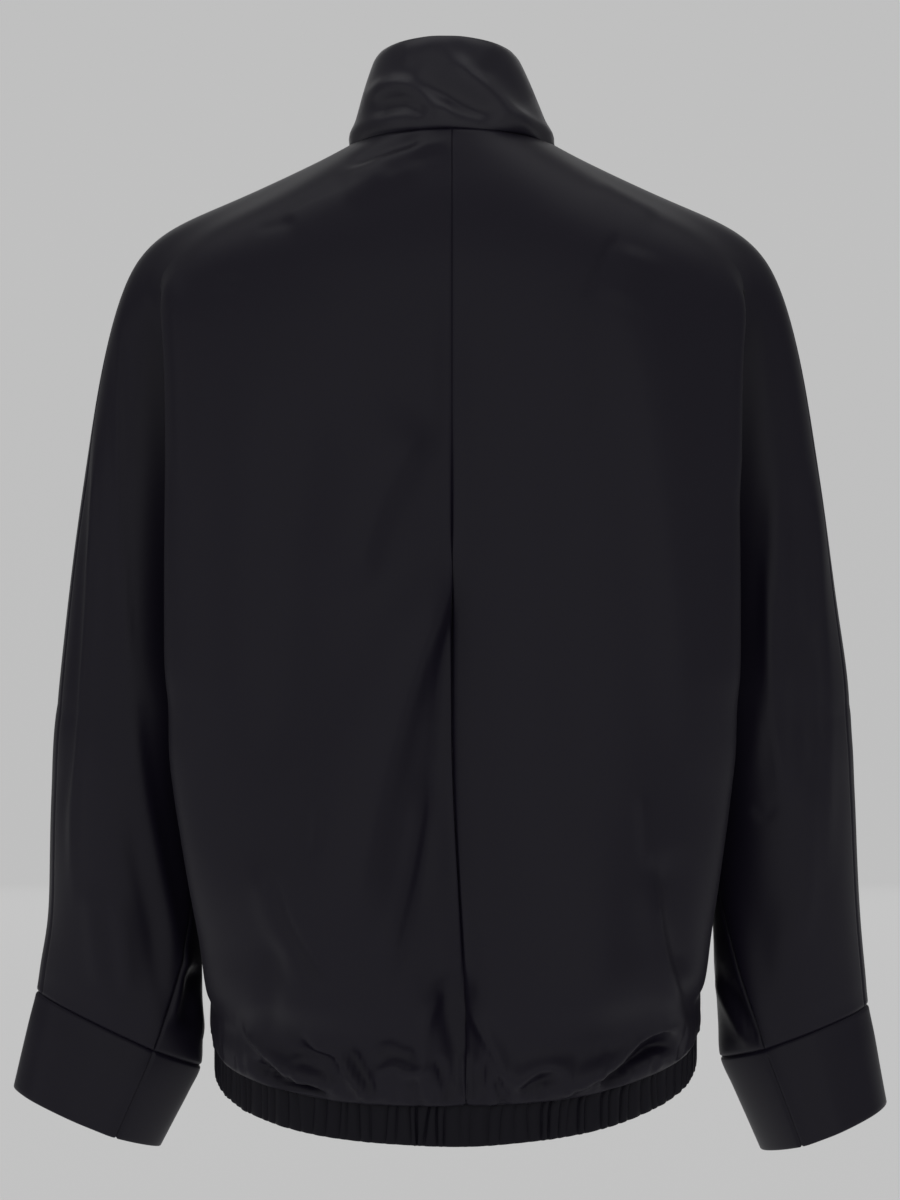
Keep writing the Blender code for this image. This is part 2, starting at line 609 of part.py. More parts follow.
def loft(name, sections):
    """A closed solid through equal, closed sections, its ends capped."""
    work = bmesh.new()
    rings = [[work.verts.new(point) for point in section] for section in sections]
    count = len(rings[0])
    for above, below in zip(rings, rings[1:]):
        for number in range(count):
            following = (number + 1) % count
            work.faces.new([above[number], above[following], below[following], below[number]])
    work.faces.new(list(reversed(rings[0])))
    work.faces.new(rings[-1])
    bmesh.ops.triangulate(work, faces=work.faces[:], quad_method="FIXED")
    bmesh.ops.recalc_face_normals(work, faces=work.faces[:])
    return finish_mesh(name, work, ZIP_CREASE_ANGLE)


# ---------------------------------------------------------------- waistband
def hem_polyline(rows):
    """The waistband's seam from the left front's edge round the back to the right front's edge."""
    left = [vert.co.copy() for vert in reversed(rows["left"]["body"][-1])]
    right = [vert.co.copy() for vert in rows["right"]["body"][-1][1:]]
    return left + right


def resample(points, count):
    """count + 1 points, evenly spaced along a polyline."""
    lengths = np.concatenate([[0.0], np.cumsum([(b - a).length for a, b in zip(points, points[1:])])])
    places = np.linspace(0.0, lengths[-1], count + 1)
    axes = [np.interp(places, lengths, [point[axis] for point in points]) for axis in range(3)]
    return [Vector(point) for point in zip(*axes)]


def ruche_lift(column):
    """How far a column of the waistband stands out; the ruches are a little uneven."""
    ruche = column // len(RUCHE_PROFILE)
    share = RUCHE_MEAN + sum(height * math.sin(pace * ruche + start)
                             for height, pace, start in RUCHE_WAVES)
    return RUCHE_HEIGHT * share * RUCHE_PROFILE[column % len(RUCHE_PROFILE)]


def build_waistband(rows):
    columns = RUCHE_COUNT * len(RUCHE_PROFILE)
    seam = resample(hem_polyline(rows), columns)
    drops = (SEAM_GAP, RUCHE_START, BAND_HEIGHT)
    shell = bmesh.new()
    grid = [[shell.verts.new(point - Vector((0, 0, drop))) for point in seam] for drop in drops]
    for above, below in zip(grid, grid[1:]):
        for column in range(columns):
            shell.faces.new([above[column + 1], above[column], below[column], below[column + 1]])
    bmesh.ops.triangulate(shell, faces=shell.faces[:], quad_method="FIXED")
    number_elements(shell)
    lifts = {vert: ruche_lift(column) for row in grid[1:] for column, vert in enumerate(row)}
    waistband = wall_from_patch("waistband", shell.faces, DOUBLE_WALL, lambda vert: lifts.get(vert, 0.0))
    shell.free()
    return waistband


# ---------------------------------------------------------------- zip
def zip_path(rows, side):
    """Places down one front's edge: the edge, its outward direction, and the same at the facing."""
    side_rows = rows[side]
    levels = side_rows["collar"] + side_rows["upper"] + [side_rows["split"]] + side_rows["body"][1:]
    path = [(row[-1].co, row[-1].normal, row[-2].co, row[-2].normal) for row in levels]
    edge, facing = path[-1][0], path[-1][2]
    foot = Vector((0, 0, -BAND_HEIGHT))
    forward = Vector((0, -1, 0))
    path[-1] = (edge, forward, facing, forward)
    path.append((edge + foot, forward, facing + foot, forward))
    return path


def cut_path(path, from_top, from_foot):
    """The path without its first and last stretches."""
    def shortened(places, length):
        while (places[1][0] - places[0][0]).length < length:
            length -= (places[1][0] - places[0][0]).length
            places = places[1:]
        share = length / (places[1][0] - places[0][0]).length
        return [tuple(a.lerp(b, share) for a, b in zip(places[0], places[1]))] + places[1:]

    trimmed = shortened(path, from_top)
    return shortened(trimmed[::-1], from_foot)[::-1]


def build_tape(path, side):
    """The woven tape under one front's edge, from the collar's top to the waistband's foot."""
    sections = []
    for edge, edge_out, facing, facing_out in cut_path(path, ZIP_END_INSET, ZIP_END_INSET):
        section = []
        for depth in (TAPE_FRONT_DEPTH, TAPE_BACK_DEPTH):
            under_edge = edge - edge_out * depth
            inner = Vector((TAPE_INNER_X * SIDES[side], under_edge.y, under_edge.z))
            under_facing = facing - facing_out * depth
            strip = [inner, under_edge, under_facing]
            section += strip if depth == TAPE_FRONT_DEPTH else strip[::-1]
        sections.append(section)
    return loft("zip_tape_" + side, sections)


def build_chain(path, side):
    """A plain bar along the tape's inner edge, where the teeth of one side are."""
    top = ZIP_END_INSET + SLIDER_POST_LENGTH + SEAM_GAP
    foot = ZIP_END_INSET + BOX_SIZE.z + SEAM_GAP
    sections = []
    for edge, edge_out, _, _ in cut_path(path, top, foot):
        corners = [(CHAIN_INNER_X, CHAIN_FRONT_DEPTH), (CHAIN_OUTER_X, CHAIN_FRONT_DEPTH),
                   (CHAIN_OUTER_X, CHAIN_BACK_DEPTH), (CHAIN_INNER_X, CHAIN_BACK_DEPTH)]
        section = []
        for x, depth in corners:
            place = edge - edge_out * depth
            section.append(Vector((x * SIDES[side], place.y, place.z)))
        sections.append(section)
    return loft("zip_chain_" + side, sections)


def box(name, low, high, frame, collection):
    """A box between two corners, in a frame of its own."""
    work = bmesh.new()
    bmesh.ops.create_cube(work, size=1.0)
    size = Vector(high) - Vector(low)
    bmesh.ops.scale(work, vec=size, verts=work.verts)
    bmesh.ops.translate(work, vec=(Vector(low) + Vector(high)) / 2, verts=work.verts)
    return place_mesh(name, work, frame, collection)


def cylinder_along_x(name, centre, radius, length, frame, collection, segments=16):
    work = bmesh.new()
    place = Matrix.Translation(centre) @ Matrix.Rotation(math.pi / 2, 4, "Y")
    bmesh.ops.create_cone(work, cap_ends=True, segments=segments, radius1=radius, radius2=radius,
                          depth=length, matrix=place)
    return place_mesh(name, work, frame, collection)


def place_mesh(name, work, frame, collection):
    mesh = bpy.data.meshes.new(name)
    work.to_mesh(mesh)
    work.free()
    obj = bpy.data.objects.new(name, mesh)
    obj.location = frame.to_translation()
    obj.rotation_euler = frame.to_euler()
    collection.objects.link(obj)
    if collection is guide_collection():
        obj.hide_render = True
        obj.display_type = "WIRE"
    return obj


def combine(base, operation, *others):
    """Boolean modifiers that add the other objects to the base, or cut them out of it."""
    for other in others:
        modifier = base.modifiers.new(other.name, "BOOLEAN")
        modifier.operation = operation
        modifier.object = other


def slider_frame(path):
    """The slider's own frame: origin on the cloth's outside at its top, +Z up the zip, -Y outwards."""
    top, below = path[0][0], path[1][0]
    up = (top - below).normalized()
    lean = math.atan2(up.y, up.z)
    origin = top - up * ZIP_END_INSET
    return Matrix.Translation((0, origin.y, origin.z)) @ Matrix.Rotation(-lean, 4, "X")


def build_slider(frame):
    guides = guide_collection()
    half = SLIDER_WIDTH / 2
    front = CHAIN_FRONT_DEPTH - SEAM_GAP
    back = TAPE_BACK_DEPTH + SEAM_GAP
    slider = box("zip_slider", (-half, front - SLIDER_PLATE, -SLIDER_LENGTH), (half, front, 0), frame,
                 part_collection())
    back_plate = box("slider_back_plate", (-half, back, -SLIDER_LENGTH), (half, back + SLIDER_PLATE, 0),
                     frame, guides)
    post = box("slider_post", (-SLIDER_POST_HALF_WIDTH, front - SLIDER_PLATE / 2, -SLIDER_POST_LENGTH),
               (SLIDER_POST_HALF_WIDTH, back + SLIDER_PLATE / 2, -SEAM_GAP), frame, guides)
    pin = pin_centre()
    legs = []
    for side in (-1, 1):
        middle = side * BAIL_HALF_WIDTH
        low = (middle - BAIL_THICKNESS / 2, pin.y - BAIL_THICKNESS, pin.z - BAIL_THICKNESS)
        high = (middle + BAIL_THICKNESS / 2, front - SLIDER_PLATE / 2, pin.z + BAIL_THICKNESS)
        legs.append(box("slider_leg", low, high, frame, guides))
    bar = cylinder_along_x("slider_pin", pin, BAIL_PIN_RADIUS, 2 * BAIL_HALF_WIDTH, frame, guides)
    combine(slider, "UNION", back_plate, post, *legs, bar)
    return slider


def pin_centre():
    """Where the tab's hinge pin crosses the middle of the zip, in the slider's frame."""
    front = CHAIN_FRONT_DEPTH - SEAM_GAP - SLIDER_PLATE
    return Vector((0, front - BAIL_STANDOFF, -SLIDER_LENGTH / 2))


def build_pull_tab(frame):
    """The tab, modelled about its hinge axis; it hangs down the zip."""
    guides = guide_collection()
    hinge = frame @ Matrix.Translation(pin_centre())
    half_thickness = TAB_THICKNESS / 2
    tab = cylinder_along_x("pull_tab", (0, 0, 0), TAB_EYE_RADIUS, TAB_EYE_WIDTH, hinge,
                           part_collection(), 20)
    neck = box("tab_neck", (-TAB_EYE_WIDTH / 2 + SEAM_GAP, -half_thickness, -TAB_NECK_LENGTH - MM),
               (TAB_EYE_WIDTH / 2 - SEAM_GAP, half_thickness, -TAB_HOLE_RADIUS / 2), hinge, guides)
    blade = box("tab_blade", (-TAB_WIDTH / 2, -half_thickness - SEAM_GAP, -TAB_LENGTH),
                (TAB_WIDTH / 2, half_thickness + SEAM_GAP, -TAB_NECK_LENGTH), hinge, guides)
    rounding = blade.modifiers.new("rounded", "BEVEL")
    rounding.width = TAB_ROUNDING
    rounding.segments = 2
    hole = cylinder_along_x("tab_hole", (0, 0, 0), TAB_HOLE_RADIUS, 2 * TAB_EYE_WIDTH, hinge, guides)
    combine(tab, "UNION", neck, blade)
    combine(tab, "DIFFERENCE", hole)
    return tab


def build_zip_box(path):
    edge = path[-1][0]
    frame = Matrix.Translation((0, edge.y, edge.z + ZIP_END_INSET))
    half = BOX_SIZE.x / 2
    retainer = box("zip_box", (-half, BOX_DEPTH, 0), (half, BOX_DEPTH + BOX_SIZE.y, BOX_SIZE.z), frame,
                   part_collection())
    rounding = retainer.modifiers.new("rounded", "BEVEL")
    rounding.width = BOX_ROUNDING
    rounding.segments = 2
    return retainer


# ---------------------------------------------------------------- scene
def new_collection(name):
    collection = bpy.data.collections.get(name)
    if collection is None:
        collection = bpy.data.collections.new(name)
        bpy.context.scene.collection.children.link(collection)
    return collection


def part_collection():
    return new_collection("track_jacket")


def guide_collection():
    return new_collection("guides")


def set_material(obj, colour, roughness, metallic=0.0):
    material = bpy.data.materials.new(obj.name)
    material.use_nodes = True
    shader = material.node_tree.nodes["Principled BSDF"]
    shader.inputs["Base Color"].default_value = (*colour, 1.0)
    shader.inputs["Roughness"].default_value = roughness
    shader.inputs["Metallic"].default_value = metallic
    material.diffuse_color = (*colour, 1.0)
    obj.data.materials.clear()
    obj.data.materials.append(material)


def clear_scene():
    for obj in list(bpy.data.objects):
        bpy.data.objects.remove(obj)


def main():
    clear_scene()
    shell, rows = build_shell()
    for number, name in enumerate(PIECES):
        patch = [face for face in shell.faces if face.material_index == number]
        thickness = WALL if name.startswith(("back", "front")) else DOUBLE_WALL
        set_material(wall_from_patch(name, patch, thickness), SATIN_COLOUR, SATIN_ROUGHNESS)
    set_material(build_waistband(rows), SATIN_COLOUR, RIBBED_ROUGHNESS)
    for side in SIDES:
        path = zip_path(rows, side)
        set_material(build_tape(path, side), TAPE_COLOUR, TAPE_ROUGHNESS)
        set_material(build_chain(path, side), TEETH_COLOUR, TEETH_ROUGHNESS)
    path = zip_path(rows, "left")
    frame = slider_frame(path)
    for metal_piece in (build_slider(frame), build_pull_tab(frame), build_zip_box(path)):
        set_material(metal_piece, METAL_COLOUR, METAL_ROUGHNESS, 1.0)
    shell.free()


main()
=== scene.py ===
# %% [markdown]
# # A black satin track jacket, filled out as it is worn
#
# The jacket is cut from warp-knitted satin: heavy, fluid and black, so most of what the eye sees is the way
# its soft folds catch the light. A rigid model, the frame, already gives every piece its place and size. Here
# each cloth piece is made again as a thin, creased shell on the frame's form, and the zip gets its teeth.
#
# The frame is in metres. +Z is up, the zip faces -Y, and the wearer's left is +X.

# %% Tools, units and the frame
import json
import math
from collections import namedtuple

import bmesh
import bpy
import numpy as np
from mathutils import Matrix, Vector
from mathutils.kdtree import KDTree

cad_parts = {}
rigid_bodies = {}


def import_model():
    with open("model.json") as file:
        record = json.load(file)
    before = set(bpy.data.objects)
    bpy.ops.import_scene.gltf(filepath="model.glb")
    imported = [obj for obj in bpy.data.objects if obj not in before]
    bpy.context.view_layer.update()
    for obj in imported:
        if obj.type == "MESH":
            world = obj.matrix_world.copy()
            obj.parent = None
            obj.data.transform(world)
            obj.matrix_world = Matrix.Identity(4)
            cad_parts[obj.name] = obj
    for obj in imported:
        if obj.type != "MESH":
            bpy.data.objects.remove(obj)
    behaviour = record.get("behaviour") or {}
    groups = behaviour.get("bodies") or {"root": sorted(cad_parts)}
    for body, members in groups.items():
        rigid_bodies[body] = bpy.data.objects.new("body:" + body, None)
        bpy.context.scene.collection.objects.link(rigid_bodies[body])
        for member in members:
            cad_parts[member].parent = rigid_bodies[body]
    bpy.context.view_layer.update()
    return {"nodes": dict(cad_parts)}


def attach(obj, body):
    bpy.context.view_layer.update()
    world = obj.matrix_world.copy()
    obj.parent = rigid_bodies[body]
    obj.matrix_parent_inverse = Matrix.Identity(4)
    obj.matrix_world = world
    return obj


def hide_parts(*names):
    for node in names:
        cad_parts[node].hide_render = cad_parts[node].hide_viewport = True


MM = 0.001
SIDES = {"left": 1.0, "right": -1.0}
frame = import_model()

# %% [markdown]
# ## The jacket's form, level by level
#
# A garment has no edges to measure from, so its form is described as a boat's hull is: by sections. Each one
# names the places where the cloth turns, from the centre back round the side to the zip. Between the shoulder
# and the underarm one curve goes round back, sleeve and front, because the sleeves are cut in one with the
# body. Below the underarm the body and each sleeve go on by themselves.

# %% Sections of the shoulders, from the neck seam down to the underarm, in millimetres
def table(kind, *rows):
    """Named tuples of one kind, a row each."""
    return [kind(*row) for row in rows]


BackSection = namedtuple(
    "BackSection",
    "over_z centre_z lip_y crease blade_x blade_y edge_x edge_y valley_x valley_y ridge_x ridge_y"
    " outer_x outer_y bow")
BACK_SECTIONS = table(
    BackSection,
    (0, 6.5, 68, 0.0, 28, 63, 50, 49, 58, 40, 66, 27, 74, 0, 0.54),
    (-14, -18, 80, 0.0, 45, 78, 78, 60, 86, 50, 95, 32, 105, 0, 0.54),
    (-36, -42, 91, 0.5, 65, 89, 112, 70, 123, 58, 139, 34, 153, 0, 0.54),
    (-57, -66, 99, 1.0, 80, 99, 150, 74, 167, 59, 186, 36, 202, 0, 0.58),
    (-80, -88, 105, 1.5, 85, 106, 180, 74, 196, 55, 211, 34, 225, 0, 0.5),
    (-100, -105, 107, 1.8, 87, 109, 202, 68, 204, 53, 217, 38, 233, 0, 0.55),
    (-118, -120, 109, 2.0, 88, 112, 200, 74, 198, 53, 219, 41, 239, 0, 0.56),
    (-160, -160, 112, 3.0, 90, 116, 197, 81, 188, 48, 221, 44, 249, -1, 0.53),
    (-220, -220, 114, 5.0, 92, 118, 196, 84, 179, 41, 223, 46, 259, -2, 0.52),
    (-290, -290, 115, 7.0, 95, 119, 197, 82, 173, 30, 225, 46, 269, -4, 0.53),
    (-350, -350, 116, 8.0, 98, 120, 197, 80, 171, 18, 226, 45, 276, -4, 0.58),
    (-380, -380, 117, 8.0, 99, 121, 197, 79, 170.5, 13, 226, 45, 279, -3, 0.63),
    (-393, -393, 117.5, 8.0, 100, 121, 196, 78, 170, 8.5, 226, 44.5, 280, -2.5, 0.68),
)
FrontSection = namedtuple(
    "FrontSection",
    "centre_z ridge_x ridge_y valley_x valley_y edge_x edge_y chest_x chest_y centre_y")
FRONT_SECTIONS = table(
    FrontSection,
    (-55, 66, -27, 58, -40, 46, -54, 28, -67, -72),
    (-66, 96, -30, 86, -45, 72, -59, 42, -77, -82),
    (-82, 139, -34, 124, -55, 104, -73, 60, -90, -93),
    (-98, 186, -36, 167, -57, 142, -80, 76, -101, -102),
    (-115, 211, -36, 195, -57, 170, -79, 84, -109, -109),
    (-131, 217, -39, 201, -55, 188, -76, 87, -112, -112),
    (-145, 219, -42, 195, -56, 186, -83, 88, -115, -114),
    (-178, 222, -45, 186, -53, 181, -88, 92, -118, -117),
    (-230, 225, -48, 179, -44, 177, -91, 95, -120, -118),
    (-294, 226, -49, 174, -33, 177, -90, 97, -121, -119),
    (-351, 226, -49, 171, -20, 177, -88, 99, -121, -119),
    (-380, 226, -48, 170.5, -13, 176, -87, 100, -121, -119),
    (-393, 226, -47.5, 170, -8.5, 176, -86, 100, -121, -119),
)
print("shoulders:", len(BACK_SECTIONS), "sections")

# %% Sections of the body below the underarm, and of the blouson over the waistband
BodySection = namedtuple(
    "BodySection", "z lip_y crease blade_x blade_y edge_x edge_y side_x front_edge_x front_edge_y"
    " chest_x chest_y centre_y")
BODY_SECTIONS = table(
    BodySection,
    (-400, 118, 8.0, 100, 121, 196, 78, 170, 176, -86, 100, -121, -119),
    (-413, 118, 8.0, 100.5, 121.5, 195, 77.5, 168.2, 175.5, -85.5, 100, -121, -119.3),
    (-430, 118.5, 8.0, 101, 122.5, 193.5, 77, 166.2, 175, -85, 100, -121.5, -119.6),
    (-460, 119, 8.0, 102, 124, 190, 76, 163.5, 174, -84, 101, -122, -120),
    (-505, 121, 8.0, 103, 127, 183, 76, 162, 172, -83, 102, -123, -119.5),
    (-550, 124, 7.0, 103, 131, 175, 76, 165, 170, -83, 102, -124, -117),
    (-588, 126, 6.0, 102, 133, 168, 76, 169, 169, -82, 101, -124, -112),
)
HemPoint = namedtuple("HemPoint", "x y fullness")
HEM_POINTS = table(
    HemPoint,
    (0, 113, 0.75),
    (16, 112.5, 0.85),
    (95, 99, 1.0),
    (150, 63, 0.9),
    (171, -2, 0.05),
    (149, -57, 0.5),
    (92, -90, 0.6),
    (12, -102.8, 0.0),
    (5, -103, 0.0),
)
BlousonRow = namedtuple("BlousonRow", "full_rise reach plain_rise")
BLOUSON_ROWS = table(
    BlousonRow,
    (30.0, 15.0, 30.0),
    (9.0, 15.0, 12.0),
    (-3.5, 8.5, 4.0),
    (0.0, 0.0, 0.0),
)
BAND_HEIGHT = 31.0 * MM
BAND_SIDE_Z = -622.0 * MM
BAND_BACK_DROP = 37.0 * MM
BAND_FRONT_DROP = 33.0 * MM
BAND_DROP_POWER = 1.6
print("body:", len(BODY_SECTIONS) + len(BLOUSON_ROWS), "sections")

# %% Rings of the sleeves and cuffs; roll and twist are in degrees
SleeveRing = namedtuple("SleeveRing", "x y z half_width half_depth roll twist ridge")
SLEEVE_RINGS = {
    "left": table(
        SleeveRing,
        (225.5, -1.0, -400, 55.5, 45.5, 0.0, 0.0, 0.0),
        (227.5, -2.0, -413, 54.8, 45.8, 0.5, 1.0, 1.0),
        (229.0, -4.0, -430, 54.2, 46.0, 1.5, 4.0, 2.5),
        (230.5, -8.0, -460, 53.5, 46.0, 4.0, 10.0, 3.5),
        (231.0, -13.0, -510, 55.5, 44.0, 9.0, 24.0, 3.5),
        (232.5, -17.0, -565, 59.0, 39.0, 17.0, 43.0, 3.0),
        (235.5, -19.0, -603, 63.5, 33.0, 22.5, 56.0, 1.5),
        (237.9, -20.0, -626.5, 65.6, 29.5, 24.9, 63.0, 0.0),
    ),
    "right": table(
        SleeveRing,
        (225.5, -1.0, -400, 55.5, 45.5, 0.0, 0.0, 0.0),
        (227.5, -2.0, -413, 54.8, 45.8, 0.5, 1.0, 1.0),
        (229.5, -4.0, -430, 54.6, 46.2, 1.5, 4.0, 2.5),
        (232.0, -8.0, -460, 54.0, 46.5, 4.0, 10.0, 3.5),
        (235.0, -13.0, -510, 54.0, 45.5, 9.0, 24.0, 3.5),
        (239.0, -17.0, -565, 55.0, 43.0, 15.0, 43.0, 3.0),
        (242.5, -19.0, -605, 56.3, 39.5, 19.0, 56.0, 1.5),
        (244.6, -20.0, -628.0, 56.9, 38.0, 20.3, 63.0, 0.0),
    ),
}
CUFF_RINGS = {
    "left": table(
        SleeveRing,
        (245.0, -21.0, -646.5, 63.5, 33.0, 24.4, 63.0, 0.0),
        (253.0, -22.0, -668.0, 60.5, 35.5, 23.5, 63.0, 0.0),
        (260.8, -22.0, -689.2, 57.5, 37.5, 22.7, 63.0, 0.0),
    ),
    "right": table(
        SleeveRing,
        (251.5, -21.0, -649.5, 54.5, 41.5, 20.8, 63.0, 0.0),
        (258.7, -22.0, -672.5, 51.5, 45.0, 21.2, 63.0, 0.0),
        (265.9, -22.0, -695.7, 48.6, 47.5, 21.6, 63.0, 0.0),
    ),
}
print("sleeves:", len(SLEEVE_RINGS["left"]) + len(CUFF_RINGS["left"]), "rings each")

# %% [markdown]
# ## Smooth curves through a few named places
#
# A section gives only some fifteen landmarks, but satin has no corners. A Catmull-Rom curve passes through
# every landmark and takes its direction at each from the two beside it. The same function runs down the
# jacket from section to section, because it takes a whole row of points as one landmark.
#
# Points lie about three millimetres apart, and closer beside a seam, where the cloth dips into a groove
# narrower than that.

# %% Where points lie along a stretch of cloth
GRAIN = 2.8 * MM
FINE_GRAIN = 2.0 * MM       # down the blouson, where the folds are sharpest
NEAR_SEAM = (0.7 * MM, 1.5 * MM, 2.6 * MM, 4.2 * MM)


def stops(length, seam_first=False, seam_last=False, grain=GRAIN):
    """Shares of a stretch at which points lie, its start included and its end left out."""
    ahead = [0.0, *(NEAR_SEAM if seam_first else ())]
    behind = [length, *(length - near for near in NEAR_SEAM)] if seam_last else [length]
    count = max(1, round((behind[-1] - ahead[-1]) / grain))
    middle = np.linspace(ahead[-1], behind[-1], count + 1)
    return np.concatenate([ahead[:-1], middle, behind[-2::-1]])[:-1] / length


def overarm_stops(length):
    """Stops on a stretch with a seam across its middle."""
    half = length / 2
    return np.concatenate([stops(half, seam_last=True), 1.0 + stops(half, seam_first=True)]) / 2


BACK_BODY_STOPS = [stops(16 * MM, seam_first=True), stops(84 * MM), stops(104 * MM),
                   stops(72 * MM, seam_last=True)]
SLEEVE_STRETCH = 32 * MM     # eight such stretches go round a sleeve
OVERARM_SEAM_AT = SLEEVE_STRETCH / 2
BACK_SLEEVE_STOPS = [stops(SLEEVE_STRETCH, seam_first=True), stops(SLEEVE_STRETCH), stops(SLEEVE_STRETCH),
                     overarm_stops(SLEEVE_STRETCH)]
FRONT_SLEEVE_STOPS = [*[stops(SLEEVE_STRETCH)] * 3, stops(SLEEVE_STRETCH, seam_last=True)]
FRONT_BODY_STOPS = [stops(80 * MM, seam_first=True), stops(84 * MM), stops(88 * MM), stops(7 * MM)]
print("stops on a body stretch:", len(BACK_BODY_STOPS[1]))

# %% A smooth path through points, or through whole rows of points
VALLEY_TIGHTNESS = 0.25


def smooth_path(points, marks, before, after, sharp=()):
    """A curve through points, with its own points at the marks of each stretch between them."""
    path = np.concatenate([before[None], points, after[None]])
    spacing = np.maximum(np.linalg.norm(np.diff(path, axis=0), axis=-1, keepdims=True), MM) ** 0.5
    slopes = np.diff(path, axis=0) / spacing
    ways = (slopes[:-1] * spacing[1:] + slopes[1:] * spacing[:-1]) / (spacing[:-1] + spacing[1:])
    for number in sharp:
        ways[number] *= VALLEY_TIGHTNESS
    curve = []
    for number, shares in enumerate(marks):
        start, end, span = points[number], points[number + 1], spacing[number + 1]
        for t in shares:
            curve.append((2 * t**3 - 3 * t**2 + 1) * start + (t**3 - 2 * t**2 + t) * span * ways[number]
                         + (3 * t**2 - 2 * t**3) * end + (t**3 - t**2) * span * ways[number + 1])
    curve.append(points[-1])
    return np.array(curve)


def between_rows(rows, place):
    """The landmarks at a fractional row number, on smooth curves through the rows."""
    last = len(rows) - 1
    low = min(int(math.floor(place)), last - 1)
    t = place - low
    p1, p2 = rows[low], rows[low + 1]
    p0 = rows[low - 1] if low > 0 else 2 * p1 - p2
    p3 = rows[low + 2] if low + 2 <= last else 2 * p2 - p1
    return 0.5 * (2 * p1 + (p2 - p0) * t + (2 * p0 - 5 * p1 + 4 * p2 - p3) * t**2
                  + (3 * p1 - p0 - 3 * p2 + p3) * t**3)


# %% Landmarks of the shoulders and the body
FRONT_EDGE_X = 5.0
FACING_X = 12.0
FACING_SETBACK = 0.5
LIP_X = 16.0
NECK_DROP_POWER = 1.3
QUARTER_BOW = 0.72


def fall(y, centre_y, side_z, centre_z, power=1.0):
    """Height of a level that lies at side_z over the shoulder and at centre_z at the middle."""
    share = min(max(y / centre_y, 0.0), 1.0)
    return side_z + (centre_z - side_z) * share**power


def quarter(corner_from, corner_to, bow):
    """Halfway round a turn that leaves the first point along Y and meets the second along X."""
    return (corner_to[0] + (corner_from[0] - corner_to[0]) * bow,
            corner_from[1] + (corner_to[1] - corner_from[1]) * bow)


def shoulder_landmarks(back, front):
    """Landmarks of one level above the underarm, from the centre back to the zip."""
    outer = (back.outer_x, back.outer_y)
    back_ridge = (back.ridge_x, back.ridge_y)
    front_ridge = (front.ridge_x, front.ridge_y)
    back_xy = [
        (0, back.lip_y - back.crease), (LIP_X, back.lip_y), (back.blade_x, back.blade_y),
        (back.edge_x, back.edge_y), (back.valley_x, back.valley_y),
        quarter((back.valley_x, back.valley_y), back_ridge, back.bow), back_ridge,
        quarter(outer, back_ridge, QUARTER_BOW), outer,
    ]
    front_xy = [
        quarter(outer, front_ridge, QUARTER_BOW), front_ridge,
        quarter((front.valley_x, front.valley_y), front_ridge, back.bow), (front.valley_x, front.valley_y),
        (front.edge_x, front.edge_y), (front.chest_x, front.chest_y),
        (FACING_X, front.centre_y + FACING_SETBACK), (FRONT_EDGE_X, front.centre_y),
    ]
    marks = [(x, y, fall(y, back.lip_y, back.over_z, back.centre_z)) for x, y in back_xy]
    marks += [(x, y, fall(y, front.centre_y, back.over_z, front.centre_z, NECK_DROP_POWER))
              for x, y in front_xy]
    return np.array(marks) * MM


def body_landmarks(row):
    """Landmarks of one level of the body below the underarm."""
    flat = [
        (0, row.lip_y - row.crease), (LIP_X, row.lip_y), (row.blade_x, row.blade_y),
        (row.edge_x, row.edge_y), (row.side_x, 0), (row.front_edge_x, row.front_edge_y),
        (row.chest_x, row.chest_y), (FACING_X, row.centre_y + FACING_SETBACK), (FRONT_EDGE_X, row.centre_y),
    ]
    return np.array([(x, y, row.z) for x, y in flat]) * MM


# %% Landmarks of the blouson, where the body bags over the waistband
def band_seam_z(y):
    """Height of the seam between body and waistband."""
    if y > 0:
        return BAND_SIDE_Z - BAND_BACK_DROP * (y / (HEM_POINTS[0].y * MM)) ** BAND_DROP_POWER
    return BAND_SIDE_Z - BAND_FRONT_DROP * (y / (HEM_POINTS[-1].y * MM)) ** BAND_DROP_POWER


def hem_landmarks(row):
    """Landmarks of one level of the blouson."""
    half_width = max(point.x for point in HEM_POINTS)
    marks = []
    for point in HEM_POINTS:
        half_depth = HEM_POINTS[0].y if point.y > 0 else -HEM_POINTS[-1].y
        outward = Vector((point.x / half_width**2, point.y / half_depth**2)).normalized()
        reach = row.reach * point.fullness
        rise = row.plain_rise + (row.full_rise - row.plain_rise) * point.fullness
        seam = band_seam_z(point.y * MM) / MM
        marks.append((point.x + outward.x * reach, point.y + outward.y * reach, seam + rise))
    return np.array(marks) * MM


# %% Landmarks of a sleeve's ring
RIDGE_FOLLOWS = 0.2
RIDGE_LANDMARK = 2


def ring_angles(twist):
    """Angles of a ring's landmarks, from the underarm seam by the back ridge and the outermost point."""
    under = 180.0 - twist
    ridge = 90.0 - RIDGE_FOLLOWS * twist
    return [under, (under + ridge) / 2, ridge, ridge / 2, 0.0, -45.0, -90.0, (under - 360.0 - 90.0) / 2]


def ring_landmarks(ring):
    """Landmarks of one ring of a sleeve or a cuff."""
    roll = math.radians(ring.roll)
    marks = []
    for number, angle in enumerate(ring_angles(ring.twist)):
        across = ring.half_width * math.cos(math.radians(angle))
        depth = ring.half_depth * math.sin(math.radians(angle))
        depth += ring.ridge if number == RIDGE_LANDMARK else 0.0
        marks.append((ring.x + across * math.cos(roll), ring.y + depth, ring.z + across * math.sin(roll)))
    return np.array(marks) * MM


# %% Landmarks of the collar, which leans in from the neck seam
COLLAR_TOP_HALF_WIDTH = 50.0 * MM
COLLAR_TOP_BACK_Y = 58.0 * MM
COLLAR_TOP_FRONT_Y = -62.0 * MM
COLLAR_TOP_SIDE_Z = 65.0 * MM
COLLAR_TOP_BACK_Z = 71.5 * MM
COLLAR_TOP_FRONT_Z = 16.0 * MM
OUTER_LANDMARK = 8


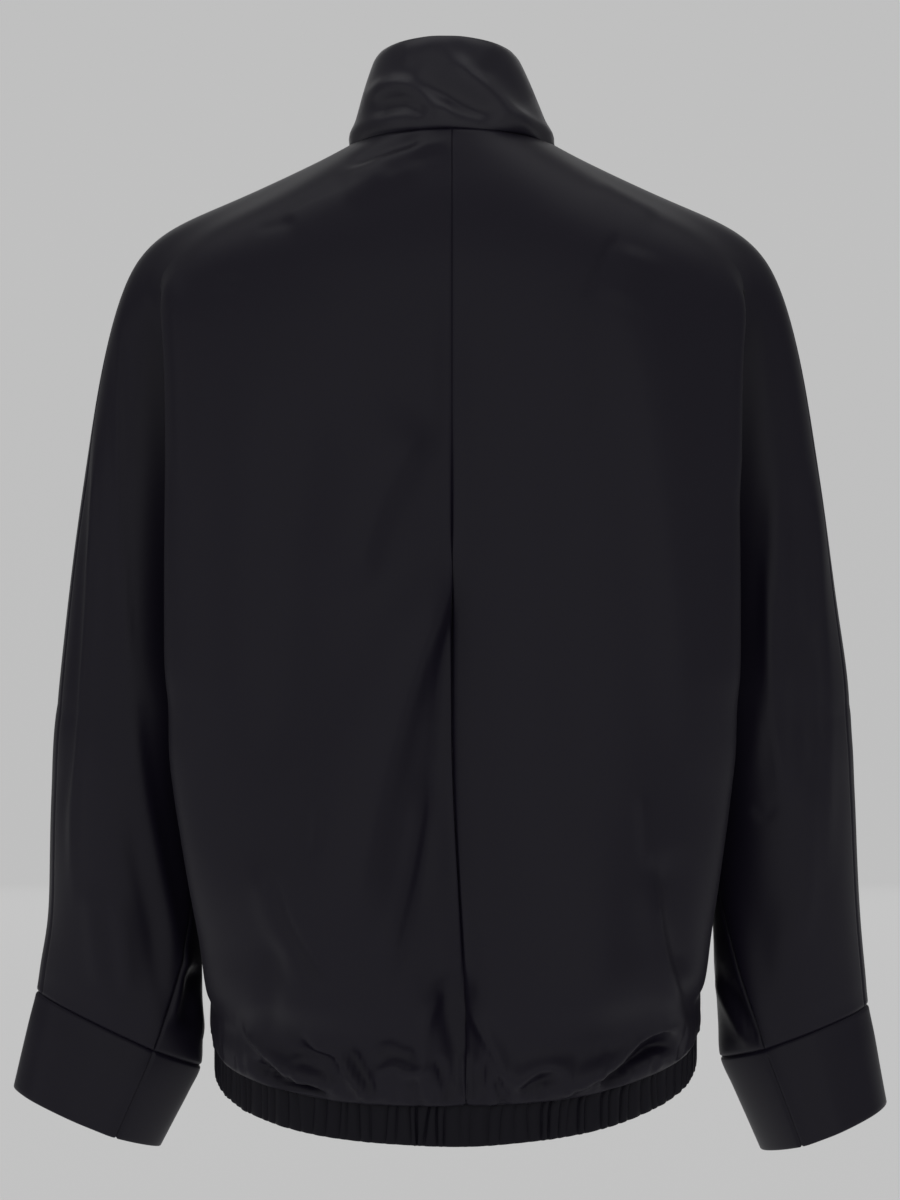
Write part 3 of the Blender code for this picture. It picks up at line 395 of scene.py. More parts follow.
def collar_landmarks(neck, share):
    """Landmarks of the collar at a share of its height, over the landmarks of the neck seam."""
    marks = []
    for x, y, z in neck:
        top_y = y * COLLAR_TOP_BACK_Y / neck[1][1] if y > 0 else y * COLLAR_TOP_FRONT_Y / neck[-1][1]
        by_the_zip = x <= FACING_X * MM and y < 0
        top_x = x if by_the_zip else x * COLLAR_TOP_HALF_WIDTH / neck[OUTER_LANDMARK][0]
        if y > 0:
            top_z = fall(top_y, COLLAR_TOP_BACK_Y, COLLAR_TOP_SIDE_Z, COLLAR_TOP_BACK_Z)
        else:
            top_z = fall(top_y, COLLAR_TOP_FRONT_Y, COLLAR_TOP_SIDE_Z, COLLAR_TOP_FRONT_Z, NECK_DROP_POWER)
        marks.append((x + (top_x - x) * share, y + (top_y - y) * share, z + (top_z - z) * share))
    return np.array(marks)


neck_landmarks = shoulder_landmarks(BACK_SECTIONS[0], FRONT_SECTIONS[0])
print("neck seam: %.0f mm wide" % (2 * neck_landmarks[OUTER_LANDMARK][0] / MM))

# %% [markdown]
# ## One sheet of cloth for the whole jacket
#
# If every panel were modelled by itself, folds and light would break at the seams. So the whole jacket is
# first laid out as one sheet of points, whose quads remember the panel that they belong to. It is creased as
# a whole, and only then cut along its seams.

# %% How many columns each stretch of the sheet takes
SHOULDER_STOPS = BACK_BODY_STOPS + BACK_SLEEVE_STOPS + FRONT_SLEEVE_STOPS + FRONT_BODY_STOPS
BODY_STOPS = BACK_BODY_STOPS + FRONT_BODY_STOPS
RING_STOPS = BACK_SLEEVE_STOPS + FRONT_SLEEVE_STOPS
BACK_BODY_COLUMNS = sum(map(len, BACK_BODY_STOPS))
BACK_SLEEVE_COLUMNS = sum(map(len, BACK_SLEEVE_STOPS))
RING_COLUMNS = sum(map(len, RING_STOPS))
OVERARM_COLUMNS = len(stops(OVERARM_SEAM_AT, seam_first=True))      # of the back sleeve, past the seam
VALLEYS = (len(BACK_BODY_STOPS), len(SHOULDER_STOPS) - len(FRONT_BODY_STOPS))
print("columns:", sum(map(len, SHOULDER_STOPS)), "from the back to the zip,", RING_COLUMNS, "in a sleeve")

# %% Soft steps, places along a line, and open and closed rows
def eased(share):
    """Nought to one with a soft start and a soft end."""
    share = np.clip(share, 0.0, 1.0)
    return share * share * (3.0 - 2.0 * share)


def lengths_along(line):
    """How far along a line each of its points lies."""
    return np.concatenate([[0.0], np.cumsum(np.linalg.norm(np.diff(line, axis=0), axis=1))])


def places_at(at, lengths, line):
    """The places at given lengths along a line."""
    return np.stack([np.interp(at, lengths, line[:, axis]) for axis in range(3)], axis=-1)


def open_row(landmarks, marks, sharp=()):
    """A row from the centre back to the front's edge."""
    before = landmarks[1] * (-1.0, 1.0, 1.0)
    return smooth_path(landmarks, marks, before, 2 * landmarks[-1] - landmarks[-2], sharp)


def ring_row(landmarks):
    """A closed row that starts at the underarm seam and goes round by the back."""
    closed = np.vstack([landmarks, landmarks[:1]])
    return smooth_path(closed, RING_STOPS, landmarks[-1], landmarks[1])[:-1]


# %% The shoulders are rounded off along each level, and evened out from level to level
ROUNDING = 13.0 * MM            # how far the rounding of a level reaches along the cloth
BELL_REACH = 3                  # a bell curve is next to nothing at three times its width
ROUNDED_ABOVE = -122.0 * MM
ROUNDED_OVER = 40.0 * MM


def rounded(row):
    """A row whose turns are rounded off more, the higher up the shoulder it lies."""
    amount = float(eased((row[:, 2].max() - ROUNDED_ABOVE) / ROUNDED_OVER))
    if amount == 0.0:
        return row
    around = lengths_along(row)
    pad = np.arange(-BELL_REACH * ROUNDING, 0.0, MM)
    even = np.arange(0.0, around[-1], MM)
    line = places_at(even, around, row)
    mirrored = line[1:len(pad) + 1][::-1] * (-1.0, 1.0, 1.0)
    beyond = 2 * line[-1] - line[-len(pad) - 1:-1][::-1]
    padded = np.vstack([mirrored, line, beyond])
    bell = np.exp(-0.5 * (pad.min() + np.arange(2 * len(pad) + 1) * MM) ** 2 / ROUNDING**2)
    bell /= bell.sum()
    soft = np.stack([np.convolve(padded[:, axis], bell, "valid") for axis in range(3)], axis=-1)
    placed = places_at(around, even, soft)
    placed[:, 0] = (placed[:, 0] - placed[0, 0]) * row[:, 0].max() / (placed[:, 0].max() - placed[0, 0])
    return row + (placed - row) * amount


def ironed(rows):
    """Rows evened out down the cloth, so that no section shows as a line; both ends stay as they are."""
    down = np.linalg.norm(np.diff(rows, axis=0), axis=-1).mean(axis=1)
    down = np.concatenate([[0.0], np.cumsum(down)])
    share = np.exp(-0.5 * ((down[:, None] - down[None, :]) / ROUNDING) ** 2) * np.gradient(down)[None, :]
    soft = np.tensordot(share / share.sum(axis=1, keepdims=True), rows, 1)
    reach = BELL_REACH * ROUNDING
    amount = eased(down / reach) * eased((down[-1] - down) / reach)
    return rows + (soft - rows) * amount[:, None, None]


def shoulder_rows():
    """Rows from the neck seam down to the underarm."""
    keys = [shoulder_landmarks(back, front) for back, front in zip(BACK_SECTIONS, FRONT_SECTIONS)]
    places = []
    for number, (above, below) in enumerate(zip(keys, keys[1:])):
        length = np.linalg.norm(below - above, axis=1).max()
        places += list(number + stops(length, seam_first=number == 0))
    places.append(len(keys) - 1)
    return ironed(np.array([rounded(open_row(between_rows(keys, place), SHOULDER_STOPS, VALLEYS))
                            for place in places]))


shoulders = shoulder_rows()
print("shoulders:", shoulders.shape[:2], "points")

# %% Rows of the collar, which stand on the neck seam
COLLAR_HEIGHT = 68 * MM
COLLAR_OVAL_FROM = 0.15     # share of the collar's height from which its section is a true oval


def oval(row):
    """The row's own width and depth with an even curve: a quarter oval behind and another in front."""
    outer = BACK_BODY_COLUMNS + BACK_SLEEVE_COLUMNS
    around = lengths_along(row)
    behind = around[:outer + 1] / around[outer] * math.pi / 2
    before = (around[outer:] - around[outer]) / (around[-1] - around[outer]) * math.pi / 2
    placed = row.copy()
    placed[:outer + 1, 0] = row[outer, 0] * np.sin(behind)
    placed[:outer + 1, 1] = row[outer, 1] + (row[0, 1] - row[outer, 1]) * np.cos(behind)
    placed[outer:, 0] = row[-1, 0] + (row[outer, 0] - row[-1, 0]) * np.cos(before)
    placed[outer:, 1] = row[outer, 1] + (row[-1, 1] - row[outer, 1]) * np.sin(before)
    return placed


def collar_rows():
    """Rows of the collar from its top down to the neck seam."""
    rows = []
    for share in 1.0 - np.append(stops(COLLAR_HEIGHT, seam_last=True), 1.0):
        row = open_row(collar_landmarks(neck_landmarks, share), SHOULDER_STOPS)
        seam = rounded(row)
        rows.append(seam + (oval(row) - seam) * min(share / COLLAR_OVAL_FROM, 1.0))
    return np.array(rows)


collar = collar_rows()[:-1]
print("collar:", collar.shape[:2], "points")

# %% Rows down the body and each sleeve; the hem settles a little to the wearer's right
HEM_SHIFT = -2.5 * MM
HEM_SLOPE = -0.02
HEM_SETTLES_BELOW = -420.0 * MM
HEM_SETTLES_OVER = 150.0 * MM
HEM_SHIFT_OVER = 90.0 * MM


def down_rows(keys, before, seams=(), fine_from=math.inf):
    """Rows down a stack of key rows: seams says which lie on one, fine_from which is the first close one."""
    marks = []
    for number in range(len(keys) - 1):
        length = np.linalg.norm(keys[number + 1] - keys[number], axis=-1).mean()
        marks.append(stops(length, number in seams, number + 1 in seams,
                           FINE_GRAIN if number >= fine_from else GRAIN))
    return smooth_path(keys, marks, before, 2 * keys[-1] - keys[-2])


def settled(rows, sign):
    """The rows of one side's body, shifted and tilted more and more towards the hem."""
    rows = rows.copy()
    ease = eased((HEM_SETTLES_BELOW - rows[..., 2]) / HEM_SETTLES_OVER)
    x = rows[..., 0].copy()
    rows[..., 2] += HEM_SLOPE * sign * x * ease
    rows[..., 0] += HEM_SHIFT * sign * ease * np.clip((x - FACING_X * MM) / HEM_SHIFT_OVER, 0.0, 1.0)
    return rows


def body_rows(sign):
    """Rows of one side's body, from the underarm to the band's seam."""
    keys = [body_landmarks(row) for row in BODY_SECTIONS] + [hem_landmarks(row) for row in BLOUSON_ROWS]
    keys = np.array([open_row(key, BODY_STOPS) for key in keys])
    above = shoulders[-1]
    before = np.vstack([above[:BACK_BODY_COLUMNS + 1], above[BACK_BODY_COLUMNS + RING_COLUMNS + 1:]])
    return settled(down_rows(keys, before, [len(keys) - 1], len(BODY_SECTIONS) - 2), sign)


def sleeve_rows(side):
    """Rows of one sleeve and its cuff, and the number of the row on the cuff's seam."""
    rings = SLEEVE_RINGS[side] + CUFF_RINGS[side]
    keys = np.array([ring_row(ring_landmarks(ring)) for ring in rings])
    before = shoulders[-1][BACK_BODY_COLUMNS:BACK_BODY_COLUMNS + RING_COLUMNS]
    cuff_seam = len(SLEEVE_RINGS[side]) - 1
    rows = down_rows(keys, before, seams=[cuff_seam])
    seam_row = int(np.argmin(np.linalg.norm(rows - keys[cuff_seam], axis=-1).sum(axis=1)))
    return rows, seam_row


# %% Zones tell later steps what a point is part of
ZONES = ["back", "back_sleeve", "front_sleeve", "front", "collar", "cuff"]
PANELS = ["back_left", "back_right", "front_left", "front_right", "collar", "cuff_left", "cuff_right"]
sheet_points = []
sheet_zones = []
sheet_grain = []
panel_quads = {name: [] for name in PANELS}


def lay(rows, sign, zones, top_v=0.0):
    """Adds rows to the sheet and returns their points' numbers; the grain is measured along both ways."""
    first = sum(len(block) for block in sheet_points)
    around = np.cumsum(np.linalg.norm(np.diff(rows, axis=1, prepend=rows[:, :1]), axis=-1), axis=1)
    down = np.cumsum(np.linalg.norm(np.diff(rows, axis=0, prepend=rows[:1]), axis=-1), axis=0) + top_v
    sheet_points.append((rows * (sign, 1.0, 1.0)).reshape(-1, 3))
    sheet_grain.append(np.stack([around * sign, -down], axis=-1).reshape(-1, 2))
    sheet_zones.append(np.tile(zones, len(rows)))
    return first + np.arange(rows.shape[0] * rows.shape[1]).reshape(rows.shape[:2])


def sew(above, below, sign, names):
    """Quads between two rows of numbers; names gives the panel of each column."""
    quads = np.stack([above[:-1], above[1:], below[1:], below[:-1]], axis=-1)
    quads = quads if sign > 0 else quads[:, ::-1]
    for name in set(names):
        panel_quads[name].append(quads[np.array(names) == name])


def zone_row(*stretches):
    """The zone of each column, from pairs of a zone and how many columns it takes."""
    return np.concatenate([np.full(count, ZONES.index(zone)) for zone, count in stretches])


# %% Laying out one side of the jacket
def lay_side(side, centre_back):
    """Lays one side; centre_back keeps the first column of each block, which both sides share."""
    sign = SIDES[side]
    front_body = shoulders.shape[1] - BACK_BODY_COLUMNS - RING_COLUMNS - 1
    front_sleeve = RING_COLUMNS - BACK_SLEEVE_COLUMNS - 1
    shoulder_zones = zone_row(("back", BACK_BODY_COLUMNS + 1), ("back_sleeve", BACK_SLEEVE_COLUMNS),
                              ("front_sleeve", front_sleeve), ("front", front_body + 1))
    body_zones = zone_row(("back", BACK_BODY_COLUMNS + 1), ("front", front_body))
    ring_zones = zone_row(("back_sleeve", BACK_SLEEVE_COLUMNS + 1), ("front_sleeve", front_sleeve))
    rows, cuff_row = sleeve_rows(side)
    blocks = {
        "collar": lay(collar, sign, zone_row(("collar", shoulders.shape[1])), -COLLAR_HEIGHT),
        "shoulders": lay(shoulders, sign, shoulder_zones),
        "body": lay(body_rows(sign), sign, body_zones, -BODY_SECTIONS[0].z * MM),
    }
    for name, numbers in blocks.items():
        numbers[:, 0] = centre_back.setdefault(name, numbers[:, 0].copy())
    blocks["rings"] = rings = lay(rows, sign, ring_zones, -BODY_SECTIONS[0].z * MM)
    sheet_zones[-1][(cuff_row + 1) * rows.shape[1]:] = ZONES.index("cuff")
    before, after = np.split(blocks["body"][0], [BACK_BODY_COLUMNS + 1])
    rings[0, 0] = before[-1]      # the underarm, where body and sleeve part
    sew_side(side, blocks, np.concatenate([before, rings[0, 1:], before[-1:], after]), cuff_row)
    return blocks


# %% Sewing one side's rows together
def sew_side(side, blocks, parting, cuff_row):
    """Sews one side's blocks; parting is the row where the shoulders end in the body and the sleeve."""
    sign = SIDES[side]
    back, front = "back_" + side, "front_" + side
    overarm = BACK_BODY_COLUMNS + BACK_SLEEVE_COLUMNS - OVERARM_COLUMNS
    columns = shoulders.shape[1] - 1
    for above, below in zip(blocks["collar"], [*blocks["collar"][1:], blocks["shoulders"][0]]):
        sew(above, below, sign, ["collar"] * columns)
    for above, below in zip(blocks["shoulders"], [*blocks["shoulders"][1:], parting]):
        sew(above, below, sign, [back] * overarm + [front] * (columns - overarm))
    body_columns = blocks["body"].shape[1] - 1
    for above, below in zip(blocks["body"], blocks["body"][1:]):
        sew(above, below, sign, [back] * BACK_BODY_COLUMNS + [front] * (body_columns - BACK_BODY_COLUMNS))
    back_sleeve = BACK_SLEEVE_COLUMNS - OVERARM_COLUMNS
    closed = np.hstack([blocks["rings"], blocks["rings"][:, :1]])
    for number, (above, below) in enumerate(zip(closed, closed[1:])):
        sleeve = [back] * back_sleeve + [front] * (RING_COLUMNS - back_sleeve)
        sew(above, below, sign, sleeve if number < cuff_row else ["cuff_" + side] * RING_COLUMNS)


centre_back = {}
laid = {side: lay_side(side, centre_back) for side in SIDES}
points = np.concatenate(sheet_points)
zones = np.concatenate(sheet_zones)
grain = np.concatenate(sheet_grain)
quads = {name: np.concatenate(rows) for name, rows in panel_quads.items()}
print("sheet:", len(points), "points,", sum(map(len, quads.values())), "quads")

# %% Which way the cloth faces
def unit(ways):
    """Ways scaled to a length of one."""
    return ways / np.maximum(np.linalg.norm(ways, axis=1, keepdims=True), 1e-12)


def summed(numbers, values, count):
    """For each of count points, the sum of the rows of values that the numbers give it."""
    return np.stack([np.bincount(numbers, values[:, axis], count) for axis in range(3)], axis=-1)


def facing(places, faces):
    """Normals of the points, from the quads round each."""
    a, b, c, d = (places[faces[:, corner]] for corner in range(4))
    across = np.cross(c - a, d - b)
    return unit(sum(summed(faces[:, corner], across, len(places)) for corner in range(4)))


all_quads = np.concatenate(list(quads.values()))
normals = facing(points, all_quads)
blade = int(np.argmax(points[:, 1]))
print("the rearmost point faces", np.round(normals[blade], 2))

# %% The underarm is eased, so that body and sleeve part without a step
UNDERARM_Z = -396.0 * MM
UNDERARM_REACH = 20.0 * MM
UNDERARM_FROM_X = 60.0 * MM
UNDERARM_FADES_FROM_X = 270.0 * MM     # so that the sleeve's outer edge keeps its line
UNDERARM_FADES_OVER = 45.0 * MM
LEAST_WEIGHT = 0.02
EASING_ROUNDS = 60
EASING_STEP = 0.6
ROUNDS_PER_NORMAL = 20


def edges_of(faces):
    """The four edges of every quad, each in the direction in which the quad runs."""
    return np.stack([faces, np.roll(faces, -1, axis=1)], axis=-1).reshape(-1, 2)


def eased_along_normals(places, faces, weight):
    """Each place moves along its normal towards the mean of its neighbours."""
    ends = edges_of(faces)
    ends = np.unique(np.sort(ends[np.any(weight[ends] > 0.0, axis=1)], axis=1), axis=0)
    count = np.maximum(np.bincount(ends.ravel(), minlength=len(places)), 1)
    for turn in range(EASING_ROUNDS):
        outward = facing(places, faces) if turn % ROUNDS_PER_NORMAL == 0 else outward
        mean = (summed(ends[:, 0], places[ends[:, 1]], len(places))
                + summed(ends[:, 1], places[ends[:, 0]], len(places))) / count[:, None]
        rise = np.sum((mean - places) * outward, axis=1) * weight * EASING_STEP
        places = places + outward * rise[:, None]
    return places


below = (points[:, 2] - UNDERARM_Z) / UNDERARM_REACH
from_middle = np.abs(points[:, 0])
weight = np.exp(-below**2) * (from_middle > UNDERARM_FROM_X)
weight *= eased((UNDERARM_FADES_FROM_X - from_middle) / UNDERARM_FADES_OVER)
weight[weight < LEAST_WEIGHT] = 0.0
points = eased_along_normals(points, all_quads, weight)
normals = facing(points, all_quads)
print("eased at the underarm:", int((weight > 0).sum()), "points")

# %% Each sleeve's outer edge bows out a little, the right one higher up
BOWS = [(1.0, -475 * MM, 1.5 * MM), (-1.0, -378 * MM, 2.4 * MM), (-1.0, -480 * MM, 0.9 * MM)]
BOW_REACH = 48.0 * MM
BOW_FROM_X = 205.0 * MM
BOW_FULL_OVER = 60.0 * MM
for sign, level, out in BOWS:
    share = np.exp(-((points[:, 2] - level) / BOW_REACH) ** 2)
    share *= eased((points[:, 0] * sign - BOW_FROM_X) / BOW_FULL_OVER)
    points[:, 0] += sign * out * share
normals = facing(points, all_quads)
print("sleeves reach %.1f and %.1f mm" % (points[:, 0].min() / MM, points[:, 0].max() / MM))

# %% The collar leans a little to the wearer's left
COLLAR_LEAN = 4.0 * MM
LEANS_FROM_Y = -50.0 * MM       # in front of this the collar and its zip stay in the middle
LEANS_OVER = 40.0 * MM
on_collar = zones == ZONES.index("collar")
leans = on_collar * eased((points[:, 1] - LEANS_FROM_Y) / LEANS_OVER)
points[:, 0] += COLLAR_LEAN * np.clip(grain[:, 1] / COLLAR_HEIGHT, 0.0, 1.0) * leans
print("collar: %.0f mm wide" % (2 * points[on_collar][:, 0].max() / MM))

# %% The centre back seam hangs a little askew
SEAM_DRIFT = -9.5 * MM
SEAM_DRIFTS_BELOW = -400.0 * MM
SEAM_DRIFTS_OVER = 230.0 * MM
SEAM_DRIFT_REACH = 130.0 * MM
SEAM_DRIFT_FULL_Y = 40.0 * MM
share = eased((SEAM_DRIFTS_BELOW - points[:, 2]) / SEAM_DRIFTS_OVER)
share *= eased(1.0 - np.abs(points[:, 0]) / SEAM_DRIFT_REACH) * eased(points[:, 1] / SEAM_DRIFT_FULL_Y)
points[:, 0] += SEAM_DRIFT * share
normals = facing(points, all_quads)
print("seam drifts %.1f mm" % (points[laid["left"]["body"][-1, 0], 0] / MM))

# %% [markdown]
# ## Folds placed one by one
#
# Satin this heavy falls in a few long, soft folds. A cloth solver would find some folds, but not these ones,
# so each is laid one by one: a smooth path across the cloth, a height (less than zero for a trough) and a
# width.
# Its section is a bell curve, which can lean to one side, and it dies away towards both ends. `lean` makes
# the flank on the left of the path gentler and the right one steeper. A pair in place of the height or the
# width gives it at the fold's start and at its end.
#
# The paths of the back are drawn as seen from behind, in millimetres across and up.

# %% A fold, and the folds of the back
Fold = namedtuple("Fold", "height width lean path")
FOLDS = {
    "back": [
        Fold((9.5, 19), (8, 54), -0.5, [(-3, -262), (4, -300), (13, -328), (27, -368), (38, -401), (52, -453),
                                        (62, -500), (70, -545), (78, -585)]),
        Fold(-2.2, 6, 0, [(0, -280), (4, -330), (8, -380), (11, -420), (16, -460), (21, -500), (27, -545)]),
        Fold(4.8, 9, -0.3, [(16, -431), (26, -488), (38, -536), (49, -580)]),
        Fold(6, 24, -0.5, [(14, -192), (27, -212), (40, -234), (52, -258), (62, -290), (68, -325)]),
        Fold(-3, 3.5, -0.3, [(115, -501), (110, -530), (97, -557), (80, -584)]),
        Fold(2.2, 12, 0.3, [(128, -488), (122, -526), (108, -559), (89, -590)]),
        Fold(-1.5, 3, 0, [(89, -455), (90, -475), (92, -494)]),
        Fold(-3.2, 9, 0, [(118, -543), (122, -583), (124, -620)]),
        Fold(4.8, 9, -0.4, [(-136, -500), (-139, -542), (-146, -573), (-155, -605), (-162, -627)]),
        Fold(-4.2, 10, 0, [(-146, -485), (-153, -543), (-162, -583)]),
        Fold(1.8, 4, 0, [(-128, -448), (-130, -475), (-132, -503)]),
        Fold(5.2, 26, 0.3, [(-108, -76), (-132, -184), (-149, -292), (-168, -468)]),
        Fold(-1.1, 2.5, -0.4, [(-114, -67), (-103, -90), (-90, -118)]),
        Fold(1.5, 14, 0.3, [(-126, -76), (-118, -98), (-108, -121)]),
        Fold(-2.8, 6.2, 0, [(18, 0), (29, -3), (44, -8), (61, -15), (74, -23)]),
        Fold(2.8, 7.5, 0.2, [(-4, -1), (18, -9), (39, -15), (61, -23), (82, -31)]),
        Fold(-1.6, 6, 0, [(2, -8), (20, -14), (34, -20), (54, -28)]),
        Fold(2, 9, 0.2, [(18, -17), (41, -25), (61, -36), (84, -45)]),
        Fold(5, 9, 0, [(0, -150), (0, -300), (-2, -440), (-6, -540), (-9, -630)]),
        Fold(-1.6, 2.2, 0, [(0, -170), (0, -300), (-2, -440), (-6, -540), (-9, -612)]),
        Fold(1.5, 10, 0.45, [(72, -40), (95, -49), (118, -60)]),
        Fold(-0.5, 4, 0, [(136, -66), (121, -63), (104, -61)]),
        Fold(-0.8, 6, 0, [(162, -100), (151, -103), (141, -105)]),
        Fold(1.8, 8, 0.3, [(211, -84), (200, -98), (192, -117), (189, -147), (187, -200), (186, -250)]),
        Fold(1.3, 11, 0, [(-97, -30), (-120, -41), (-145, -54)]),
        Fold(2.2, 7, -0.3, [(-211, -91), (-203, -110), (-199, -144), (-197, -200), (-196, -260)]),
        Fold(3.8, 30, 0, [(137, -137), (146, -238), (151, -347), (146, -455)]),
        Fold(-3, 22, 0, [(89, -157), (103, -265), (112, -374), (116, -468)]),
        Fold(-3, 26, 0, [(-73, -171), (-77, -292), (-84, -414), (-93, -522)]),
    ],
    "hem": [
        Fold(6.5, 6, 0.6, [(143, -606), (135, -619), (126, -629), (115, -638), (103, -643), (92, -647),
                           (80, -652)]),
        Fold(-9.5, 5, 0, [(142, -630), (127, -642), (111, -650), (96, -655), (80, -659)]),
        Fold(3, 2.4, 0, [(122, -640), (112, -645), (102, -648), (94, -653)]),
        Fold(6, 4.6, 0.5, [(104, -612), (92, -620), (78, -626), (71, -640), (62, -652), (53, -662)]),
        Fold(-4.5, 4, 0, [(72, -620), (64, -632), (57, -646), (48, -656)]),
        Fold(-2.6, 6, 0, [(108, -624), (96, -630), (86, -638), (76, -648)]),
        Fold(2.4, 3, 0, [(110, -632), (98, -629), (86, -634)]),
        Fold(4, 3.6, 0, [(56, -640), (47, -637), (39, -634), (31, -638), (21, -637), (16, -630)]),
        Fold(-3.6, 6, 0, [(52, -626), (42, -622), (32, -626), (22, -624)]),
        Fold(-10, 13, 0, [(2, -560), (0, -600), (-7, -634), (-8, -668)]),
        Fold(2.4, 5, 0, [(-1, -578), (12, -594), (19, -611), (20, -630), (19, -650)]),
        Fold(4.4, 5, 0.4, [(-6, -586), (-14, -602), (-26, -620), (-34, -637), (-39, -655)]),
        Fold(2.8, 3, 0, [(-8, -622), (-8, -640), (-10, -662)]),
        Fold(-4.6, 2.6, 0, [(11, -626), (6, -644), (3, -662)]),
        Fold(-3.6, 2.4, 0, [(28, -640), (24, -650), (21, -664)]),
        Fold(-4.6, 2.6, 0, [(-20, -628), (-20, -645), (-21, -664)]),
        Fold(-4, 3, 0, [(-30, -638), (-33, -652), (-36, -666)]),
        Fold(-4.1, 4, 0, [(-46, -654), (-57, -645), (-71, -643)]),
        Fold(6, 6, 0.5, [(-39, -651), (-55, -638), (-68, -635), (-81, -643)]),
        Fold(8, 7, 0.55, [(-62, -658), (-78, -651), (-93, -643), (-112, -633), (-124, -619),
                          (-136, -612), (-145, -612), (-155, -619), (-162, -629)]),
        Fold(-10, 5, 0, [(-96, -651), (-112, -643), (-126, -632), (-138, -624), (-147, -624), (-157, -630)]),
    ],
    "back_sleeve": [
        Fold(1.8, 3.2, -0.3, [(231, -104), (232, -183), (231, -238), (228, -314), (222, -389)]),
        Fold(2.4, 3.2, -0.4, [(245, -173), (249, -198), (252, -250), (254, -301), (257, -364),
                              (261, -425), (266, -463), (266, -508), (264, -556)]),
        Fold(-2.2, 4.5, 0, [(251, -180), (255, -229), (259, -301), (263, -364), (268, -425),
                            (272, -463), (273, -515)]),
        Fold(2.8, 7, -0.3, [(224, -368), (220, -417), (215, -451), (206, -500), (199, -539), (191, -588)]),
        Fold(-1.8, 7, 0, [(227, -459), (220, -501), (211, -550), (206, -588), (201, -623)]),
        Fold(2.2, 7, 0, [(254, -515), (251, -556), (247, -598)]),
        Fold(2, 7, 0, [(236, -522), (232, -563), (229, -605)]),
        Fold(-1.8, 7, 0, [(243, -529), (240, -563), (237, -605)]),
        Fold(3, 3.5, 0, [(185, -562), (190, -586), (199, -623)]),
        Fold(-4, 6, 0, [(183, -576), (186, -598), (188, -626)]),
        Fold(3, 6, 0, [(185, -588), (181, -612), (173, -642)]),
        Fold(3, 8, 0, [(-228, -208), (-226, -278), (-222, -347), (-216, -414), (-208, -452)]),
        Fold(-2, 8, 0, [(-241, -229), (-240, -320), (-236, -389)]),
        Fold(2.4, 5, 0.4, [(-252, -208), (-255, -250), (-257, -301), (-261, -389), (-262, -476),
                           (-263, -529)]),
        Fold(-2, 6, 0, [(-247, -320), (-250, -389), (-243, -459)]),
        Fold(1.8, 3.5, 0, [(-219, -280), (-221, -350), (-226, -420), (-231, -475)]),
        Fold(1.6, 3, 0, [(-250, -345), (-251, -400), (-251, -450)]),
        Fold(2.2, 8, 0, [(-252, -431), (-250, -501), (-244, -570)]),
        Fold(1, 9, 0, [(-238, -515), (-231, -570), (-224, -612)]),
        Fold(-1.2, 3.5, 0, [(-211, -462), (-219, -471), (-226, -461)]),
        Fold(3.2, 4, -0.3, [(-178, -565), (-193, -599), (-206, -623), (-217, -643)]),
        Fold(-2.6, 4, 0, [(-195, -588), (-205, -611), (-217, -635)]),
    ],
    "collar": [
        Fold(4.5, 7.2, 0, [(66, 30), (53, 34), (46, 37), (33, 36), (24, 30), (15, 23), (4, 18), (-10, 14)]),
        Fold(-3.4, 6.5, 0, [(60, 20), (49, 24), (31, 26), (20, 20), (12, 14)]),
        Fold(-3.8, 8.5, 0, [(24, 46), (11, 36), (-4, 28), (-20, 20), (-35, 15)]),
        Fold(4.7, 8, 0, [(3, 66), (-1, 53), (-9, 43), (-20, 35), (-29, 27), (-40, 18), (-53, 10),
                         (-64, 5)]),
        Fold(-2.4, 9, 0, [(-20, 58), (-34, 46), (-48, 34), (-60, 22)]),
        Fold(1.6, 9, 0, [(40, 58), (15, 62), (-3, 58)]),
    ],
}
print("folds:", {zone: len(folds) for zone, folds in FOLDS.items()})

